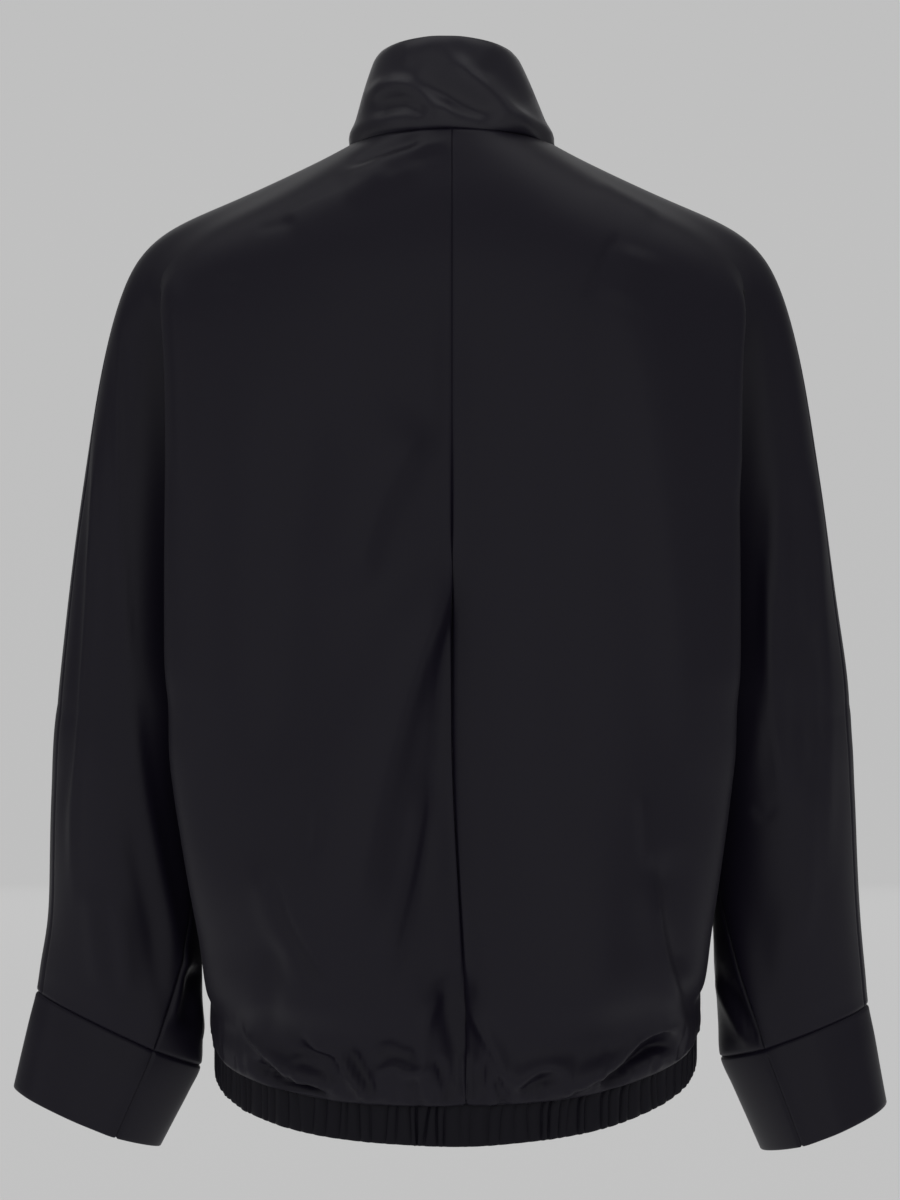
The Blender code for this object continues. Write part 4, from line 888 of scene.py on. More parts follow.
# %% Folds of the front, which hangs much as the back does
FRONT_FOLDS = {
    "front": [
        Fold(3.2, 12, 0.3, [(120, -85), (126, -150), (128, -240), (124, -340)]),
        Fold(-2.4, 10, 0, [(92, -120), (98, -210), (100, -320), (96, -430)]),
        Fold(4, 24, -0.4, [(60, -250), (66, -340), (76, -440), (92, -540)]),
        Fold(2.6, 9, 0.3, [(140, -420), (132, -490), (116, -560), (100, -600)]),
        Fold(-2.2, 8, 0, [(40, -380), (46, -460), (58, -540), (64, -600)]),
        Fold(2.2, 7, 0, [(30, -72), (52, -96), (80, -124), (104, -160)]),
        Fold(-2, 6, 0, [(36, -86), (58, -112), (82, -146)]),
        Fold(3, 11, -0.3, [(-112, -84), (-122, -160), (-126, -250), (-122, -330)]),
        Fold(-2.6, 10, 0, [(-88, -140), (-92, -240), (-98, -340), (-104, -440)]),
        Fold(4.2, 22, 0.4, [(-52, -280), (-62, -370), (-78, -460), (-90, -560)]),
        Fold(2.4, 8, -0.3, [(-138, -440), (-128, -510), (-112, -570), (-98, -606)]),
        Fold(-2, 7, 0, [(-34, -420), (-40, -500), (-52, -570)]),
        Fold(2.4, 7, 0, [(-26, -76), (-48, -104), (-72, -136), (-96, -180)]),
        Fold(-2, 6, 0, [(-30, -92), (-50, -120), (-70, -158)]),
    ],
    "hem": [
        Fold(6, 7, 0.5, [(146, -596), (136, -612), (122, -622), (104, -632), (84, -642)]),
        Fold(-5.5, 5.5, 0, [(134, -626), (116, -634), (98, -642), (82, -650)]),
        Fold(5, 7, 0.5, [(90, -606), (76, -616), (64, -630), (48, -646)]),
        Fold(-5, 6, 0, [(70, -598), (58, -618), (44, -640)]),
        Fold(4.5, 6, 0.3, [(40, -612), (32, -628), (26, -648)]),
        Fold(5.5, 7, -0.5, [(-60, -646), (-78, -636), (-96, -628), (-118, -618), (-136, -606), (-148, -604)]),
        Fold(-6, 6, 0, [(-84, -642), (-104, -634), (-124, -624), (-142, -618)]),
        Fold(5, 6.5, -0.4, [(-34, -646), (-46, -632), (-60, -622), (-76, -618)]),
        Fold(-4.5, 6, 0, [(-28, -606), (-36, -624), (-40, -646)]),
    ],
    "front_sleeve": [
        Fold(2.4, 7, 0, [(232, -130), (234, -220), (230, -320), (222, -400)]),
        Fold(2.6, 5, 0.4, [(250, -190), (254, -280), (258, -380), (262, -470), (262, -550)]),
        Fold(-2.4, 6, 0, [(242, -240), (246, -330), (246, -420)]),
        Fold(-4, 7, 0, [(222, -470), (214, -530), (206, -590)]),
        Fold(3.4, 7, 0.3, [(212, -450), (204, -510), (196, -570), (190, -610)]),
        Fold(2.6, 8, 0, [(246, -500), (240, -560), (234, -610)]),
        Fold(2.6, 8, 0, [(-230, -150), (-230, -250), (-224, -350), (-216, -430)]),
        Fold(2.4, 5, -0.4, [(-252, -210), (-256, -300), (-260, -400), (-262, -500)]),
        Fold(-2.2, 7, 0, [(-240, -260), (-242, -360), (-238, -440)]),
        Fold(-3.6, 7, 0, [(-226, -480), (-220, -540), (-216, -600)]),
        Fold(3.2, 7, -0.3, [(-216, -450), (-208, -510), (-200, -570), (-196, -616)]),
        Fold(2.4, 8, 0, [(-248, -510), (-242, -570), (-236, -618)]),
    ],
    "collar": [
        Fold(2.6, 7, 0, [(52, 20), (40, 8), (30, -4), (20, -20)]),
        Fold(-2.2, 6, 0, [(56, 4), (46, -8), (34, -22)]),
        Fold(2.4, 7, 0, [(-50, 14), (-40, 2), (-28, -12), (-20, -26)]),
    ],
}
print("front folds:", {zone: len(folds) for zone, folds in FRONT_FOLDS.items()})

# %% How far a place is from a fold's path
STEPS_PER_STRETCH = 8


def along_path(places, path):
    """For each place, its signed distance from a smooth path and its share of the path's length."""
    path = np.array(path, dtype=float) * MM
    marks = [np.arange(STEPS_PER_STRETCH) / STEPS_PER_STRETCH] * (len(path) - 1)
    line = smooth_path(path, marks, 2 * path[0] - path[1], 2 * path[-1] - path[-2])
    lengths = lengths_along(line)
    signed = np.full(len(places), np.inf)
    share = np.zeros(len(places))
    for start, end, passed, length in zip(line, line[1:], lengths, np.diff(lengths)):
        way = (end - start) / length
        offset = places - start
        on = np.clip(offset @ way, 0.0, length)
        distance = np.linalg.norm(offset - on[:, None] * way, axis=1)
        closer = distance < np.abs(signed)
        side = np.where(offset[:, 0] * way[1] > offset[:, 1] * way[0], 1.0, -1.0)
        signed[closer] = (distance * side)[closer]
        share[closer] = ((passed + on) / lengths[-1])[closer]
    return signed, share


# %% How high one fold raises the cloth
FOLD_FADE = 0.25        # share of its length over which a fold comes up from nothing
FOLD_REACH = 3.5        # in widths; the bell curve is next to nothing past it


def grown(pair, share):
    """One number, or what a pair of them gives at shares of the way from start to end."""
    start, end = pair if isinstance(pair, tuple) else (pair, pair)
    return (start + (end - start) * share) * MM


def fold_lift(places, fold):
    """How far each place moves out along its normal for one fold."""
    reach = FOLD_REACH * grown(fold.width, 1.0) * (1.0 + abs(fold.lean))
    path = np.array(fold.path) * MM
    near = np.all((places > path.min(axis=0) - reach) & (places < path.max(axis=0) + reach), axis=1)
    lift = np.zeros(len(places))
    if not near.any():
        return lift
    distance, share = along_path(places[near], fold.path)
    width = grown(fold.width, share) * np.where(distance > 0, 1.0 + fold.lean, 1.0 - fold.lean)
    fade = eased(share / FOLD_FADE) * eased((1.0 - share) / FOLD_FADE)
    lift[near] = grown(fold.height, share) * fade * np.exp(-(distance / width) ** 2)
    return lift


# %% Every fold in its zones
FULL_FOLD_FACING = 0.3  # how far a normal points back where the folds have their full height
PLAIN_BY_THE_ZIP = 8 * MM
PLAIN_FADES_OVER = 24 * MM
BODY = ("back", "front")
SLEEVE = ("back_sleeve", "front_sleeve")
FOLDED_ZONES = {"back": BODY, "front": BODY, "hem": BODY, "back_sleeve": SLEEVE, "front_sleeve": SLEEVE,
                "collar": ("collar",)}


def lift_zones(names, folds, faces_back):
    """Folds on the zones named, only where they face back, or front where faces_back is -1."""
    members = np.isin(zones, [ZONES.index(name) for name in names]) & (normals[:, 1] * faces_back > 0)
    share = eased(normals[members][:, 1] * faces_back / FULL_FOLD_FACING)
    if faces_back < 0:
        share *= eased((np.abs(points[members][:, 0]) - PLAIN_BY_THE_ZIP) / PLAIN_FADES_OVER)
    for fold in folds:
        lift[members] += share * fold_lift(points[members][:, (0, 2)], fold)


lift = np.zeros(len(points))
for folds_of, faces_back in ((FOLDS, 1.0), (FRONT_FOLDS, -1.0)):
    for zone, folds in folds_of.items():
        lift_zones(FOLDED_ZONES[zone], folds, faces_back)
print("folds move the cloth %.1f to %.1f mm" % (lift.min() / MM, lift.max() / MM))

# %% Grooves along the seams
SEAM_DEPTH = 1.4 * MM
COLLAR_SEAM_DEPTH = 0.8 * MM
CENTRE_SEAM_DEPTH = 0.7 * MM     # over the shoulder blades, where the seam is stretched flat
SEAM_WIDTH = 1.1 * MM
COLLAR_SEAM_REACH = 8.0 * MM
CENTRE_SEAM_REACH = 5.0 * MM
CENTRE_SEAM_FLAT_ABOVE = -300.0 * MM
CUFF_SEAM_ROWS = 24
MARKS_PER_EDGE = 5


def edge_keys(faces):
    """Every edge of the quads as a number that is the same from both sides."""
    ends = np.sort(edges_of(faces), axis=1)
    return ends[:, 0].astype(np.int64) * len(points) + ends[:, 1]


def seam_ends():
    """Ends of the edges where two panels meet, of the body's lower edge, and of each cuff's own seam."""
    once = [np.unique(edge_keys(quads[name])) for name in PANELS]
    keys, counts = np.unique(np.concatenate(once), return_counts=True)
    seams = keys[counts > 1]
    lines = [laid[side]["body"][-1] for side in SIDES]
    lines += [laid[side]["rings"][-CUFF_SEAM_ROWS - 1:, 0] for side in SIDES]
    return np.concatenate([np.stack([seams // len(points), seams % len(points)], axis=1),
                           *[np.stack([line[:-1], line[1:]], axis=1) for line in lines]])


def distance_from(ends):
    """Distance of every point from a set of short edges, each marked at a few places."""
    marks = np.concatenate([points[ends[:, 0]] * (1 - t) + points[ends[:, 1]] * t
                            for t in np.linspace(0.0, 1.0, MARKS_PER_EDGE)])
    tree = KDTree(len(marks))
    for number, place in enumerate(marks):
        tree.insert(place, number)
    tree.balance()
    return np.array([tree.find(place)[2] for place in points])


seam_distance = distance_from(seam_ends())
groove = np.where(np.abs(grain[:, 1]) < COLLAR_SEAM_REACH, COLLAR_SEAM_DEPTH, SEAM_DEPTH)
centre_back_high = ((np.abs(points[:, 0]) < CENTRE_SEAM_REACH) & (points[:, 1] > 0)
                    & (points[:, 2] > CENTRE_SEAM_FLAT_ABOVE))
groove[centre_back_high] = CENTRE_SEAM_DEPTH
lift -= groove * np.exp(-(seam_distance / SEAM_WIDTH) ** 2)
print("points in a groove:", int((seam_distance < SEAM_WIDTH).sum()))

# %% Small gathers above the waistband, where the elastic draws the body in
GATHER_HEIGHT = 1.1 * MM
GATHER_REACH = 13.0 * MM
GATHER_STARTS_OVER = 3.0 * MM
BACK_DRAWN_FROM_Y = 60.0 * MM      # behind this the gathers get up to twice as high
BACK_DRAWN_OVER = 40.0 * MM


def waves(place, *parts):
    """A sum of sines, each with a size, a length and a start: a ripple with no repeat that the eye finds."""
    return sum(size * np.sin(place * 2 * math.pi / length + start) for size, length, start in parts)


for side, sign in SIDES.items():
    numbers = laid[side]["body"]
    place = grain[numbers][..., 0]
    above = points[numbers][..., 2] - points[numbers[-1]][None, :, 2]
    ripple = waves(place, (0.6, 13 * MM, 0.4 * sign), (0.4, 8.3 * MM, 1.9), (0.5, 29 * MM, 2.2 * sign))
    fade = np.exp(-np.maximum(above, 0.0) / GATHER_REACH) * eased(above / GATHER_STARTS_OVER)
    drawn_in = 1.0 + eased((points[numbers][..., 1] - BACK_DRAWN_FROM_Y) / BACK_DRAWN_OVER)
    lift[numbers] += GATHER_HEIGHT * ripple * fade * drawn_in
print("the cloth now moves %.1f to %.1f mm" % (lift.min() / MM, lift.max() / MM))

# %% The collar rolls out over its seam, bulges and turns in at its top; then the sheet is creased
COLLAR_ROLL = 1.6 * MM
ROLL_AT = 8.0 * MM              # above the neck seam
ROLL_WIDTH = 6.5 * MM
ROLL_STARTS_OVER = 5.0 * MM
COLLAR_BULGE = 1.0 * MM
BULGE_POWER = 1.6               # which puts the bulge above the middle
COLLAR_TOP_TURN = 1.2 * MM
TURN_REACH = 7.0 * MM
above_seam = grain[:, 1]
share = np.clip(above_seam / COLLAR_HEIGHT, 0.0, 1.0)
roll = COLLAR_ROLL * np.exp(-((above_seam - ROLL_AT) / ROLL_WIDTH) ** 2)
roll *= eased(above_seam / ROLL_STARTS_OVER)
bulge = COLLAR_BULGE * np.sin(np.pi * share**BULGE_POWER)
turn = COLLAR_TOP_TURN * np.clip((above_seam - COLLAR_HEIGHT + TURN_REACH) / TURN_REACH, 0.0, 1.0) ** 2
lift += (roll + bulge - turn) * on_collar
points = points + normals * lift[:, None]
normals = facing(points, all_quads)
print("creased:", len(points), "points")

# %% [markdown]
# ## From a sheet to sewn panels
#
# A surface has no thickness, and real cloth shows its edge wherever it ends. Each panel's quads become a
# thin wall: an outer face, an inner face a little behind it, and a rim between them. At a seam the rim is
# flat and meets the next panel's. At a free edge, where the cloth is folded over, the rim is round.

# %% A panel's border, and a mesh in the scene
def new_mesh(name, verts, faces, *materials):
    """A mesh with its materials, not yet in the scene."""
    mesh = bpy.data.meshes.new(name)
    mesh.from_pydata(verts, [], faces)
    for material in materials:
        mesh.materials.append(material)
    return mesh


def shown(name, data):
    """An object in the scene."""
    made = bpy.data.objects.new(name, data)
    bpy.context.scene.collection.objects.link(made)
    return made


def border(faces):
    """Edges that only one quad has, each in the direction in which its quad runs."""
    ends = edges_of(faces)
    low, high = ends.min(axis=1).astype(np.int64), ends.max(axis=1)
    _, index, counts = np.unique(low * (high.max() + 1) + high, return_index=True, return_counts=True)
    return ends[index[counts == 1]]


def inward_ways(places, outward, faces, edges):
    """For each point of the border, the way into the panel along the cloth."""
    middles = places[faces].mean(axis=1)
    total = sum(summed(faces[:, corner], middles, len(places)) for corner in range(4))
    count = np.bincount(faces.ravel(), minlength=len(places))
    into = total / np.maximum(count, 1)[:, None] - places
    ways = np.zeros_like(places)
    along = unit(places[edges[:, 1]] - places[edges[:, 0]])
    for number in edges.T:
        across = np.cross(outward[number], along)
        across *= np.sign(np.sum(across * into[number], axis=1, keepdims=True))
        np.add.at(ways, number, across)
    return unit(ways)


# %% A wall from each panel of the sheet
CLOTH = 1.0 * MM
FOLDED_CLOTH = 2.2 * MM
RIM = ((0.15, 0.71), (0.5, 1.0), (0.85, 0.71))      # three points round the rim: how deep, how far out
ON_A_SEAM = 0.05 * MM


def wall(name, places, outward, faces, thickness, sewn, uv):
    """A closed wall of cloth; sewn says which points lie on a seam."""
    used, compact = np.unique(faces, return_inverse=True)
    faces = compact.reshape(faces.shape)
    places, outward, sewn, uv = places[used], outward[used], sewn[used], uv[used]
    edges = border(faces)
    rim = np.unique(edges)
    bulge = inward_ways(places, outward, faces, edges)[rim] * thickness / 2
    bulge[sewn[rim]] = 0.0
    inner = places - outward * thickness
    round_rim = [places[rim] * (1 - deep) + inner[rim] * deep - bulge * out for deep, out in RIM]
    count = len(places)
    slot = np.full(count, -1)
    slot[rim] = np.arange(len(rim))
    rings = [np.arange(count), *(2 * count + step * len(rim) + slot for step in range(len(RIM))),
             count + np.arange(count)]
    start, end = edges.T
    strips = [np.stack([upper[end], upper[start], lower[start], lower[end]], axis=1)
              for upper, lower in zip(rings, rings[1:])]
    all_faces = np.concatenate([faces, faces[:, ::-1] + count, *strips])
    mesh = new_mesh(name, np.concatenate([places, inner, *round_rim]).tolist(), all_faces.tolist())
    mesh.polygons.foreach_set("material_index", np.repeat([0, 1, 0], [len(faces)] * 2 + [4 * len(edges)]))
    mesh.polygons.foreach_set("use_smooth", [True] * len(all_faces))
    point_uv = np.concatenate([uv, uv, *[uv[rim]] * len(RIM)])
    layer = mesh.uv_layers.new(name="grain")
    layer.data.foreach_set("uv", point_uv[all_faces.ravel()].ravel().astype(np.float32))
    print("%s: %d faces, %.3f m2" % (name, len(all_faces), sum(face.area for face in mesh.polygons)))
    return shown(name, mesh)


sewn = seam_distance < ON_A_SEAM
satin_pieces = {}
for name in PANELS:
    thickness = CLOTH if name.startswith(("back", "front")) else FOLDED_CLOTH
    satin_pieces[name] = wall("satin_" + name, points, normals, quads[name], thickness, sewn, grain)

# %% [markdown]
# ## The ruched waistband
#
# The waistband is a sleeve of satin sewn round a stretched elastic. When the elastic draws up, the cloth
# ruches: it stands in narrow, upright lobes with sharp valleys between them. No two are equally wide, and
# some lean. Each lobe here is an arch, and the valleys are where two arches meet. The seam above follows the
# folds of the body, but the elastic evens them out lower down.

# %% The waistband's lobes: narrow and wide ones in no order
RUCHES = 112
RUCHE_COLUMNS = 9
RUCHE_HEIGHT = 2.6 * MM
dice = np.random.default_rng(7)


def ruche_columns():
    """For every column, its share of the band's length and how far across its lobe it is."""
    widths = dice.uniform(0.5, 1.5, RUCHES)
    starts = np.concatenate([[0.0], np.cumsum(widths)])[:, None] / widths.sum()
    steps = 0.5 - 0.5 * np.cos(np.pi * np.arange(RUCHE_COLUMNS) / RUCHE_COLUMNS)
    inner = starts[:-1] + (starts[1:] - starts[:-1]) * steps
    return np.append(inner.ravel(), 1.0), np.append(np.tile(steps, RUCHES), 1.0)


def lobe_profile(across):
    """How far each column stands out, as a share of the ruches' height."""
    lobe = np.minimum(np.arange(len(across)) // RUCHE_COLUMNS, RUCHES - 1)
    valley = dice.uniform(0.0, 0.25, RUCHES + 1)
    swell = dice.uniform(0.4, 0.95, RUCHES)
    sharpness = dice.uniform(1.4, 2.4, RUCHES)
    arch = 1.0 - np.abs(2.0 * across - 1.0) ** sharpness[lobe]
    return valley[lobe] * (1.0 - across) + valley[lobe + 1] * across + swell[lobe] * arch


columns_at, columns_across = ruche_columns()
profile = lobe_profile(columns_across)
print("lobes stand out by %.1f to %.1f mm" % (RUCHE_HEIGHT * profile.min() / MM,
                                              RUCHE_HEIGHT * profile.max() / MM))

# %% Rows of the band, which follow the seam above and the elastic lower down
RUCHE_ROWS = 12
RUCHE_SLANT = 0.0019            # spread of the slants, as shares of the band's length
AT_THE_SEAM = 0.35              # share of the full height, where the stitches hold the ruches flat
AT_THE_HEM = 0.7725             # and where the cloth folds over the edge of the elastic
FULL_FROM = 0.2                 # shares of the band's height between which the ruches are full
FULL_TO = 0.85
ELASTIC_ROUNDS = 70             # of smoothing
ELASTIC_FROM = 0.4              # share of the band's height from which it follows the elastic alone


def resampled(line, shares):
    """Points at given shares of a line's length."""
    lengths = lengths_along(line)
    return places_at(shares, lengths / lengths[-1], line)


def band_rows():
    """Rows of the band, from its seam down to the hem."""
    seam = points[np.concatenate([laid["left"]["body"][-1][::-1], laid["right"]["body"][-1][1:]])]
    slant = dice.normal(0.0, RUCHE_SLANT, RUCHES + 1)
    slants = np.interp(columns_at, np.linspace(0.0, 1.0, RUCHES + 1), slant) * np.sin(np.pi * columns_at)
    elastic = seam.copy()
    for _ in range(ELASTIC_ROUNDS):
        elastic[1:-1] += (elastic[:-2] + elastic[2:] - 2 * elastic[1:-1]) / 4
    rows = []
    for share in np.linspace(0.0, 1.0, RUCHE_ROWS + 1):
        at = columns_at + slants * (share - 0.5)
        line = resampled(seam, at)
        line += (resampled(elastic, at) - line) * eased(share / ELASTIC_FROM)
        line[:, 2] -= BAND_HEIGHT * share
        outward = unit(np.cross(np.gradient(line, axis=0), (0.0, 0.0, 1.0)))
        full = AT_THE_SEAM + (1 - AT_THE_SEAM) * eased(share / FULL_FROM)
        full -= (1 - AT_THE_HEM) * eased((share - FULL_TO) / (1 - FULL_TO))
        rows.append(line + outward * (RUCHE_HEIGHT * full * profile)[:, None])
    return np.array(rows)


band = band_rows()
print("hem: %.0f mm along its ruches" % (lengths_along(band[-1])[-1] / MM))

# %% The waistband's wall
BAND_ROUND = 0.95               # length of the band's grain
columns = band.shape[1]
band_points = band.reshape(-1, 3)
numbers = np.arange(len(band_points)).reshape(band.shape[:2])
band_quads = np.stack([numbers[:-1, 1:], numbers[:-1, :-1], numbers[1:, :-1], numbers[1:, 1:]],
                      axis=-1).reshape(-1, 4)
band_grain = np.stack(np.meshgrid(np.linspace(0, BAND_ROUND, columns),
                                  -np.linspace(0, BAND_HEIGHT, RUCHE_ROWS + 1)), axis=-1).reshape(-1, 2)
band_sewn = np.arange(len(band_points)) < columns
satin_pieces["waistband"] = wall("satin_waistband", band_points, facing(band_points, band_quads), band_quads,
                                 FOLDED_CLOTH, band_sewn, band_grain)

# %% [markdown]
# ## Satin
#
# Warp-knitted satin is smooth because long floats of filament yarn lie side by side on its face. They
# reflect light in a soft band, so the shader is a dark, slightly violet base with a medium gloss. Fine wales,
# half a millimetre apart, run down the cloth's own grain, which each piece carries as a UV map in metres.
# They are too fine to need more than a bump.

# %% Nodes and materials
def fill(target, inputs):
    """Sets a node's inputs: a pair of a node and the name of its output links them, all else is a value."""
    for socket, value in inputs.items():
        if isinstance(value, tuple) and isinstance(value[0], bpy.types.Node):
            target.id_data.links.new(value[0].outputs[value[1]], target.inputs[socket])
        else:
            target.inputs[socket].default_value = value


def node(tree, kind, inputs=None, **settings):
    """A new node with its settings made and its inputs filled."""
    made = tree.nodes.new(kind)
    for name, value in settings.items():
        setattr(made, name, value)
    fill(made, inputs or {})
    return made


def new_material(name, colour, roughness, **inputs):
    """A material, its tree and its shader; inputs are the shader's, with _ for a blank in the name."""
    material = bpy.data.materials.new(name)
    material.use_nodes = True
    material.diffuse_color = colour
    shader = material.node_tree.nodes["Principled BSDF"]
    fill(shader, {"Base Color": colour, "Roughness": roughness,
                  **{socket.replace("_", " "): value for socket, value in inputs.items()}})
    return material, material.node_tree, shader


# %% How a finish varies
def bands(tree, place, direction, pitch, **inputs):
    """A wave with one band a pitch along one direction of a place."""
    return node(tree, "ShaderNodeTexWave", {"Vector": place, "Scale": 2 * math.pi / 20 / pitch, **inputs},
                bands_direction=direction)


def speckle(tree, place, scale, detail):
    """Noise over a place."""
    return node(tree, "ShaderNodeTexNoise", {"Vector": place, "Scale": scale, "Detail": detail})


def vary_gloss(tree, shader, noise, low, high, **inputs):
    """Lets a noise move the roughness between two values."""
    gloss = node(tree, "ShaderNodeMapRange",
                 {"Value": (noise, "Fac"), "To Min": low, "To Max": high, **inputs})
    fill(shader, {"Roughness": (gloss, "Result")})


def vary_colour(tree, shader, source, dark, light):
    """Lets an output mix two colours."""
    mix = node(tree, "ShaderNodeMixRGB", {"Fac": source, "Color1": dark, "Color2": light})
    fill(shader, {"Base Color": (mix, "Color")})


def raise_relief(tree, shader, height, strength, distance):
    """Lets an output raise the surface, as light sees it."""
    relief = node(tree, "ShaderNodeBump", {"Height": height, "Strength": strength, "Distance": distance})
    fill(shader, {"Normal": (relief, "Normal")})


# %% Satin's shader
SATIN = (0.0074, 0.0060, 0.0124, 1.0)
SATIN_PAINTED_SHEEN = (0.0105, 0.0090, 0.0160, 1.0)     # the collar's crosswise grain takes more gloss; its lighter base is painted sheen
SATIN_PAINTED_SHADE = (0.0056, 0.0050, 0.0088, 1.0)   # painted shade: a darker base for the shade the waistband's ruches cast on one another
SATIN_INSIDE = (0.012, 0.0115, 0.014, 1.0)
WALE = 0.55 * MM


def satin(name, colour, roughness, gleam=0.22):
    """Satin with wales down its grain and a slow, faint change of gloss."""
    material, tree, shader = new_material(name, colour, roughness, Specular_IOR_Level=gleam,
                                          Sheen_Weight=0.02, Sheen_Roughness=0.35)
    grain_map = (node(tree, "ShaderNodeUVMap", uv_map="grain"), "UV")
    wales = bands(tree, grain_map, "X", WALE, Distortion=0.6, Detail=1.0)
    raise_relief(tree, shader, (wales, "Fac"), 0.25, 0.05 * MM)
    vary_gloss(tree, shader, speckle(tree, grain_map, 14.0, 5.0), roughness - 0.03, roughness + 0.03)
    return material


satin_face = satin("satin face", SATIN, 0.43)
# The collar gets more gloss for its crosswise grain, and a lighter base colour as painted sheen.
satin_with_painted_sheen = satin("satin across the grain with painted sheen", SATIN_PAINTED_SHEEN, 0.4, gleam=0.36)
# The waistband's darker base colour is painted shade from its ruches.
satin_with_painted_shade = satin("gathered satin with painted shade", SATIN_PAINTED_SHADE, 0.46, gleam=0.13)
satin_back = satin("satin back", SATIN_INSIDE, 0.6)
face_of = {"collar": satin_with_painted_sheen, "waistband": satin_with_painted_shade}
for name, piece in satin_pieces.items():
    piece.data.materials.append(face_of.get(name, satin_face))
    piece.data.materials.append(satin_back)
    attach(piece, "jacket")
    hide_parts(name)
print("satin on", len(satin_pieces), "pieces")

# %% [markdown]
# ## The zip
#
# A moulded zip is two rows of small hooked teeth, each row gripping a woven tape. The teeth are all alike and
# follow a path, which is what Geometry Nodes are for: one tooth is modelled, and a short tree sets copies of
# it along the front's edge, one pitch apart. The other row is half a pitch lower, so that the heads mesh. The
# same tree lays the stitches that hold each front to its tape.

# %% The front's edge, which the zip follows
EDGE_STEP = 2.0 * MM


def front_line(x, depth, from_top, from_foot):
    """Places up the zip at one x, at a depth below the outside of the cloth, from the foot to the top."""
    numbers = np.concatenate([laid["left"][block][:, -1] for block in ("collar", "shoulders", "body")])
    line = points[numbers]
    outward = unit(normals[numbers] * (0.0, 1.0, 1.0))
    line = np.vstack([line - outward * depth, line[-1] - (0.0, -depth, BAND_HEIGHT)])[::-1]
    line[:, 0] = x
    lengths = lengths_along(line)
    return places_at(np.arange(from_foot, lengths[-1] - from_top, EDGE_STEP), lengths, line)


print("zip: %.0f mm long" % (len(front_line(0.0, 0.0, 0.0, 0.0)) * EDGE_STEP / MM))

# %% One tooth and one stitch
TOOTH_OUTLINE = [(3.3, 0.75), (1.5, 0.75), (1.0, 0.42), (0.45, 0.42), (0.1, 0.72), (-0.4, 0.72),
                 (-0.75, 0.35)]
TOOTH_MIDDLE = 1.2
TOOTH_THICKNESS = 2.4 * MM
TOOTH_CHAMFER = 0.3 * MM
TOOTH_FACE_SIZE = 0.82
STITCH_LENGTH = 2.3 * MM
STITCH_RADIUS = 0.24 * MM
STITCH_SIDES = 6
STITCH_RINGS = [(-0.5, -0.6, 0.6), (-0.3, 0.35, 1.0), (0.0, 0.6, 1.0), (0.3, 0.35, 1.0), (0.5, -0.6, 0.6)]


def tube(rings, around, capped=True):
    """Faces of a tube whose points are numbered ring by ring, with a cap at each end if it is capped."""
    faces = [[ring * around + (n + 1) % around, ring * around + n,
              (ring + 1) * around + n, (ring + 1) * around + (n + 1) % around]
             for ring in range(rings - 1) for n in range(around)]
    caps = [list(range(around)), list(range((rings - 1) * around, rings * around))[::-1]]
    return faces + caps * capped


def closed_mesh(name, verts, rings, around, *materials):
    """A tube with caps whose faces all point outwards."""
    mesh = new_mesh(name, verts, tube(rings, around), *materials)
    shape = bmesh.new()
    shape.from_mesh(mesh)
    bmesh.ops.recalc_face_normals(shape, faces=shape.faces)
    shape.to_mesh(mesh)
    shape.free()
    return mesh


def tooth(name, sign):
    """A hooked tooth of the wearer's left row, or of the right one where sign is -1."""
    outline = TOOTH_OUTLINE + [(x, -z) for x, z in TOOTH_OUTLINE[::-1]]
    half = TOOTH_THICKNESS / 2
    rings = [(-half, TOOTH_FACE_SIZE), (TOOTH_CHAMFER - half, 1.0), (half - TOOTH_CHAMFER, 1.0),
             (half, TOOTH_FACE_SIZE)]
    verts = [((TOOTH_MIDDLE + (x - TOOTH_MIDDLE) * size) * sign * MM, y, z * size * MM)
             for y, size in rings for x, z in outline]
    return bpy.data.objects.new(name, closed_mesh(name, verts, len(rings), len(outline)))


def stitch(name):
    """A short stretch of thread along Z that dips into the cloth at both ends."""
    turns = np.arange(STITCH_SIDES) / STITCH_SIDES * 2 * math.pi
    verts = [(STITCH_RADIUS * width * math.cos(turn), -STITCH_RADIUS * (rise + width * math.sin(turn)),
              STITCH_LENGTH * along) for along, rise, width in STITCH_RINGS for turn in turns]
    return bpy.data.objects.new(name, closed_mesh(name, verts, len(STITCH_RINGS), STITCH_SIDES))


tooth_of = {side: tooth("tooth " + side, sign) for side, sign in SIDES.items()}
thread = stitch("stitch")
print("a tooth has", len(tooth_of["left"].data.polygons), "faces, a stitch", len(thread.data.polygons))

# %% A tree that sets one shape along a path, a pitch apart
SOCKETS = {"Geometry": "Geometry", "Shape": "Object", "Pitch": "Float", "Finish": "Material"}


def along_tree():
    """The tree, and the identifier of each of its sockets."""
    tree = bpy.data.node_groups.new("one shape along a path", "GeometryNodeTree")
    made = {name: tree.interface.new_socket(name, in_out="INPUT", socket_type="NodeSocket" + kind)
            for name, kind in SOCKETS.items()}
    tree.interface.new_socket("Geometry", in_out="OUTPUT", socket_type="NodeSocketGeometry")
    start = node(tree, "NodeGroupInput")
    spaced = node(tree, "GeometryNodeResampleCurve",
                  {"Curve": (start, "Geometry"), "Length": (start, "Pitch")}, mode="LENGTH")
    look = node(tree, "GeometryNodeObjectInfo", {"Object": (start, "Shape")})
    tangent = node(tree, "GeometryNodeInputTangent")
    turned = node(tree, "FunctionNodeAlignRotationToVector", {"Vector": (tangent, "Tangent")}, axis="Z")
    copies = node(tree, "GeometryNodeInstanceOnPoints", {
        "Points": (spaced, "Curve"), "Instance": (look, "Geometry"), "Rotation": (turned, "Rotation")})
    real = node(tree, "GeometryNodeRealizeInstances", {"Geometry": (copies, "Instances")})
    dressed = node(tree, "GeometryNodeSetMaterial",
                   {"Geometry": (real, "Geometry"), "Material": (start, "Finish")})
    node(tree, "NodeGroupOutput", {"Geometry": (dressed, "Geometry")})
    return tree, {name: socket.identifier for name, socket in made.items()}


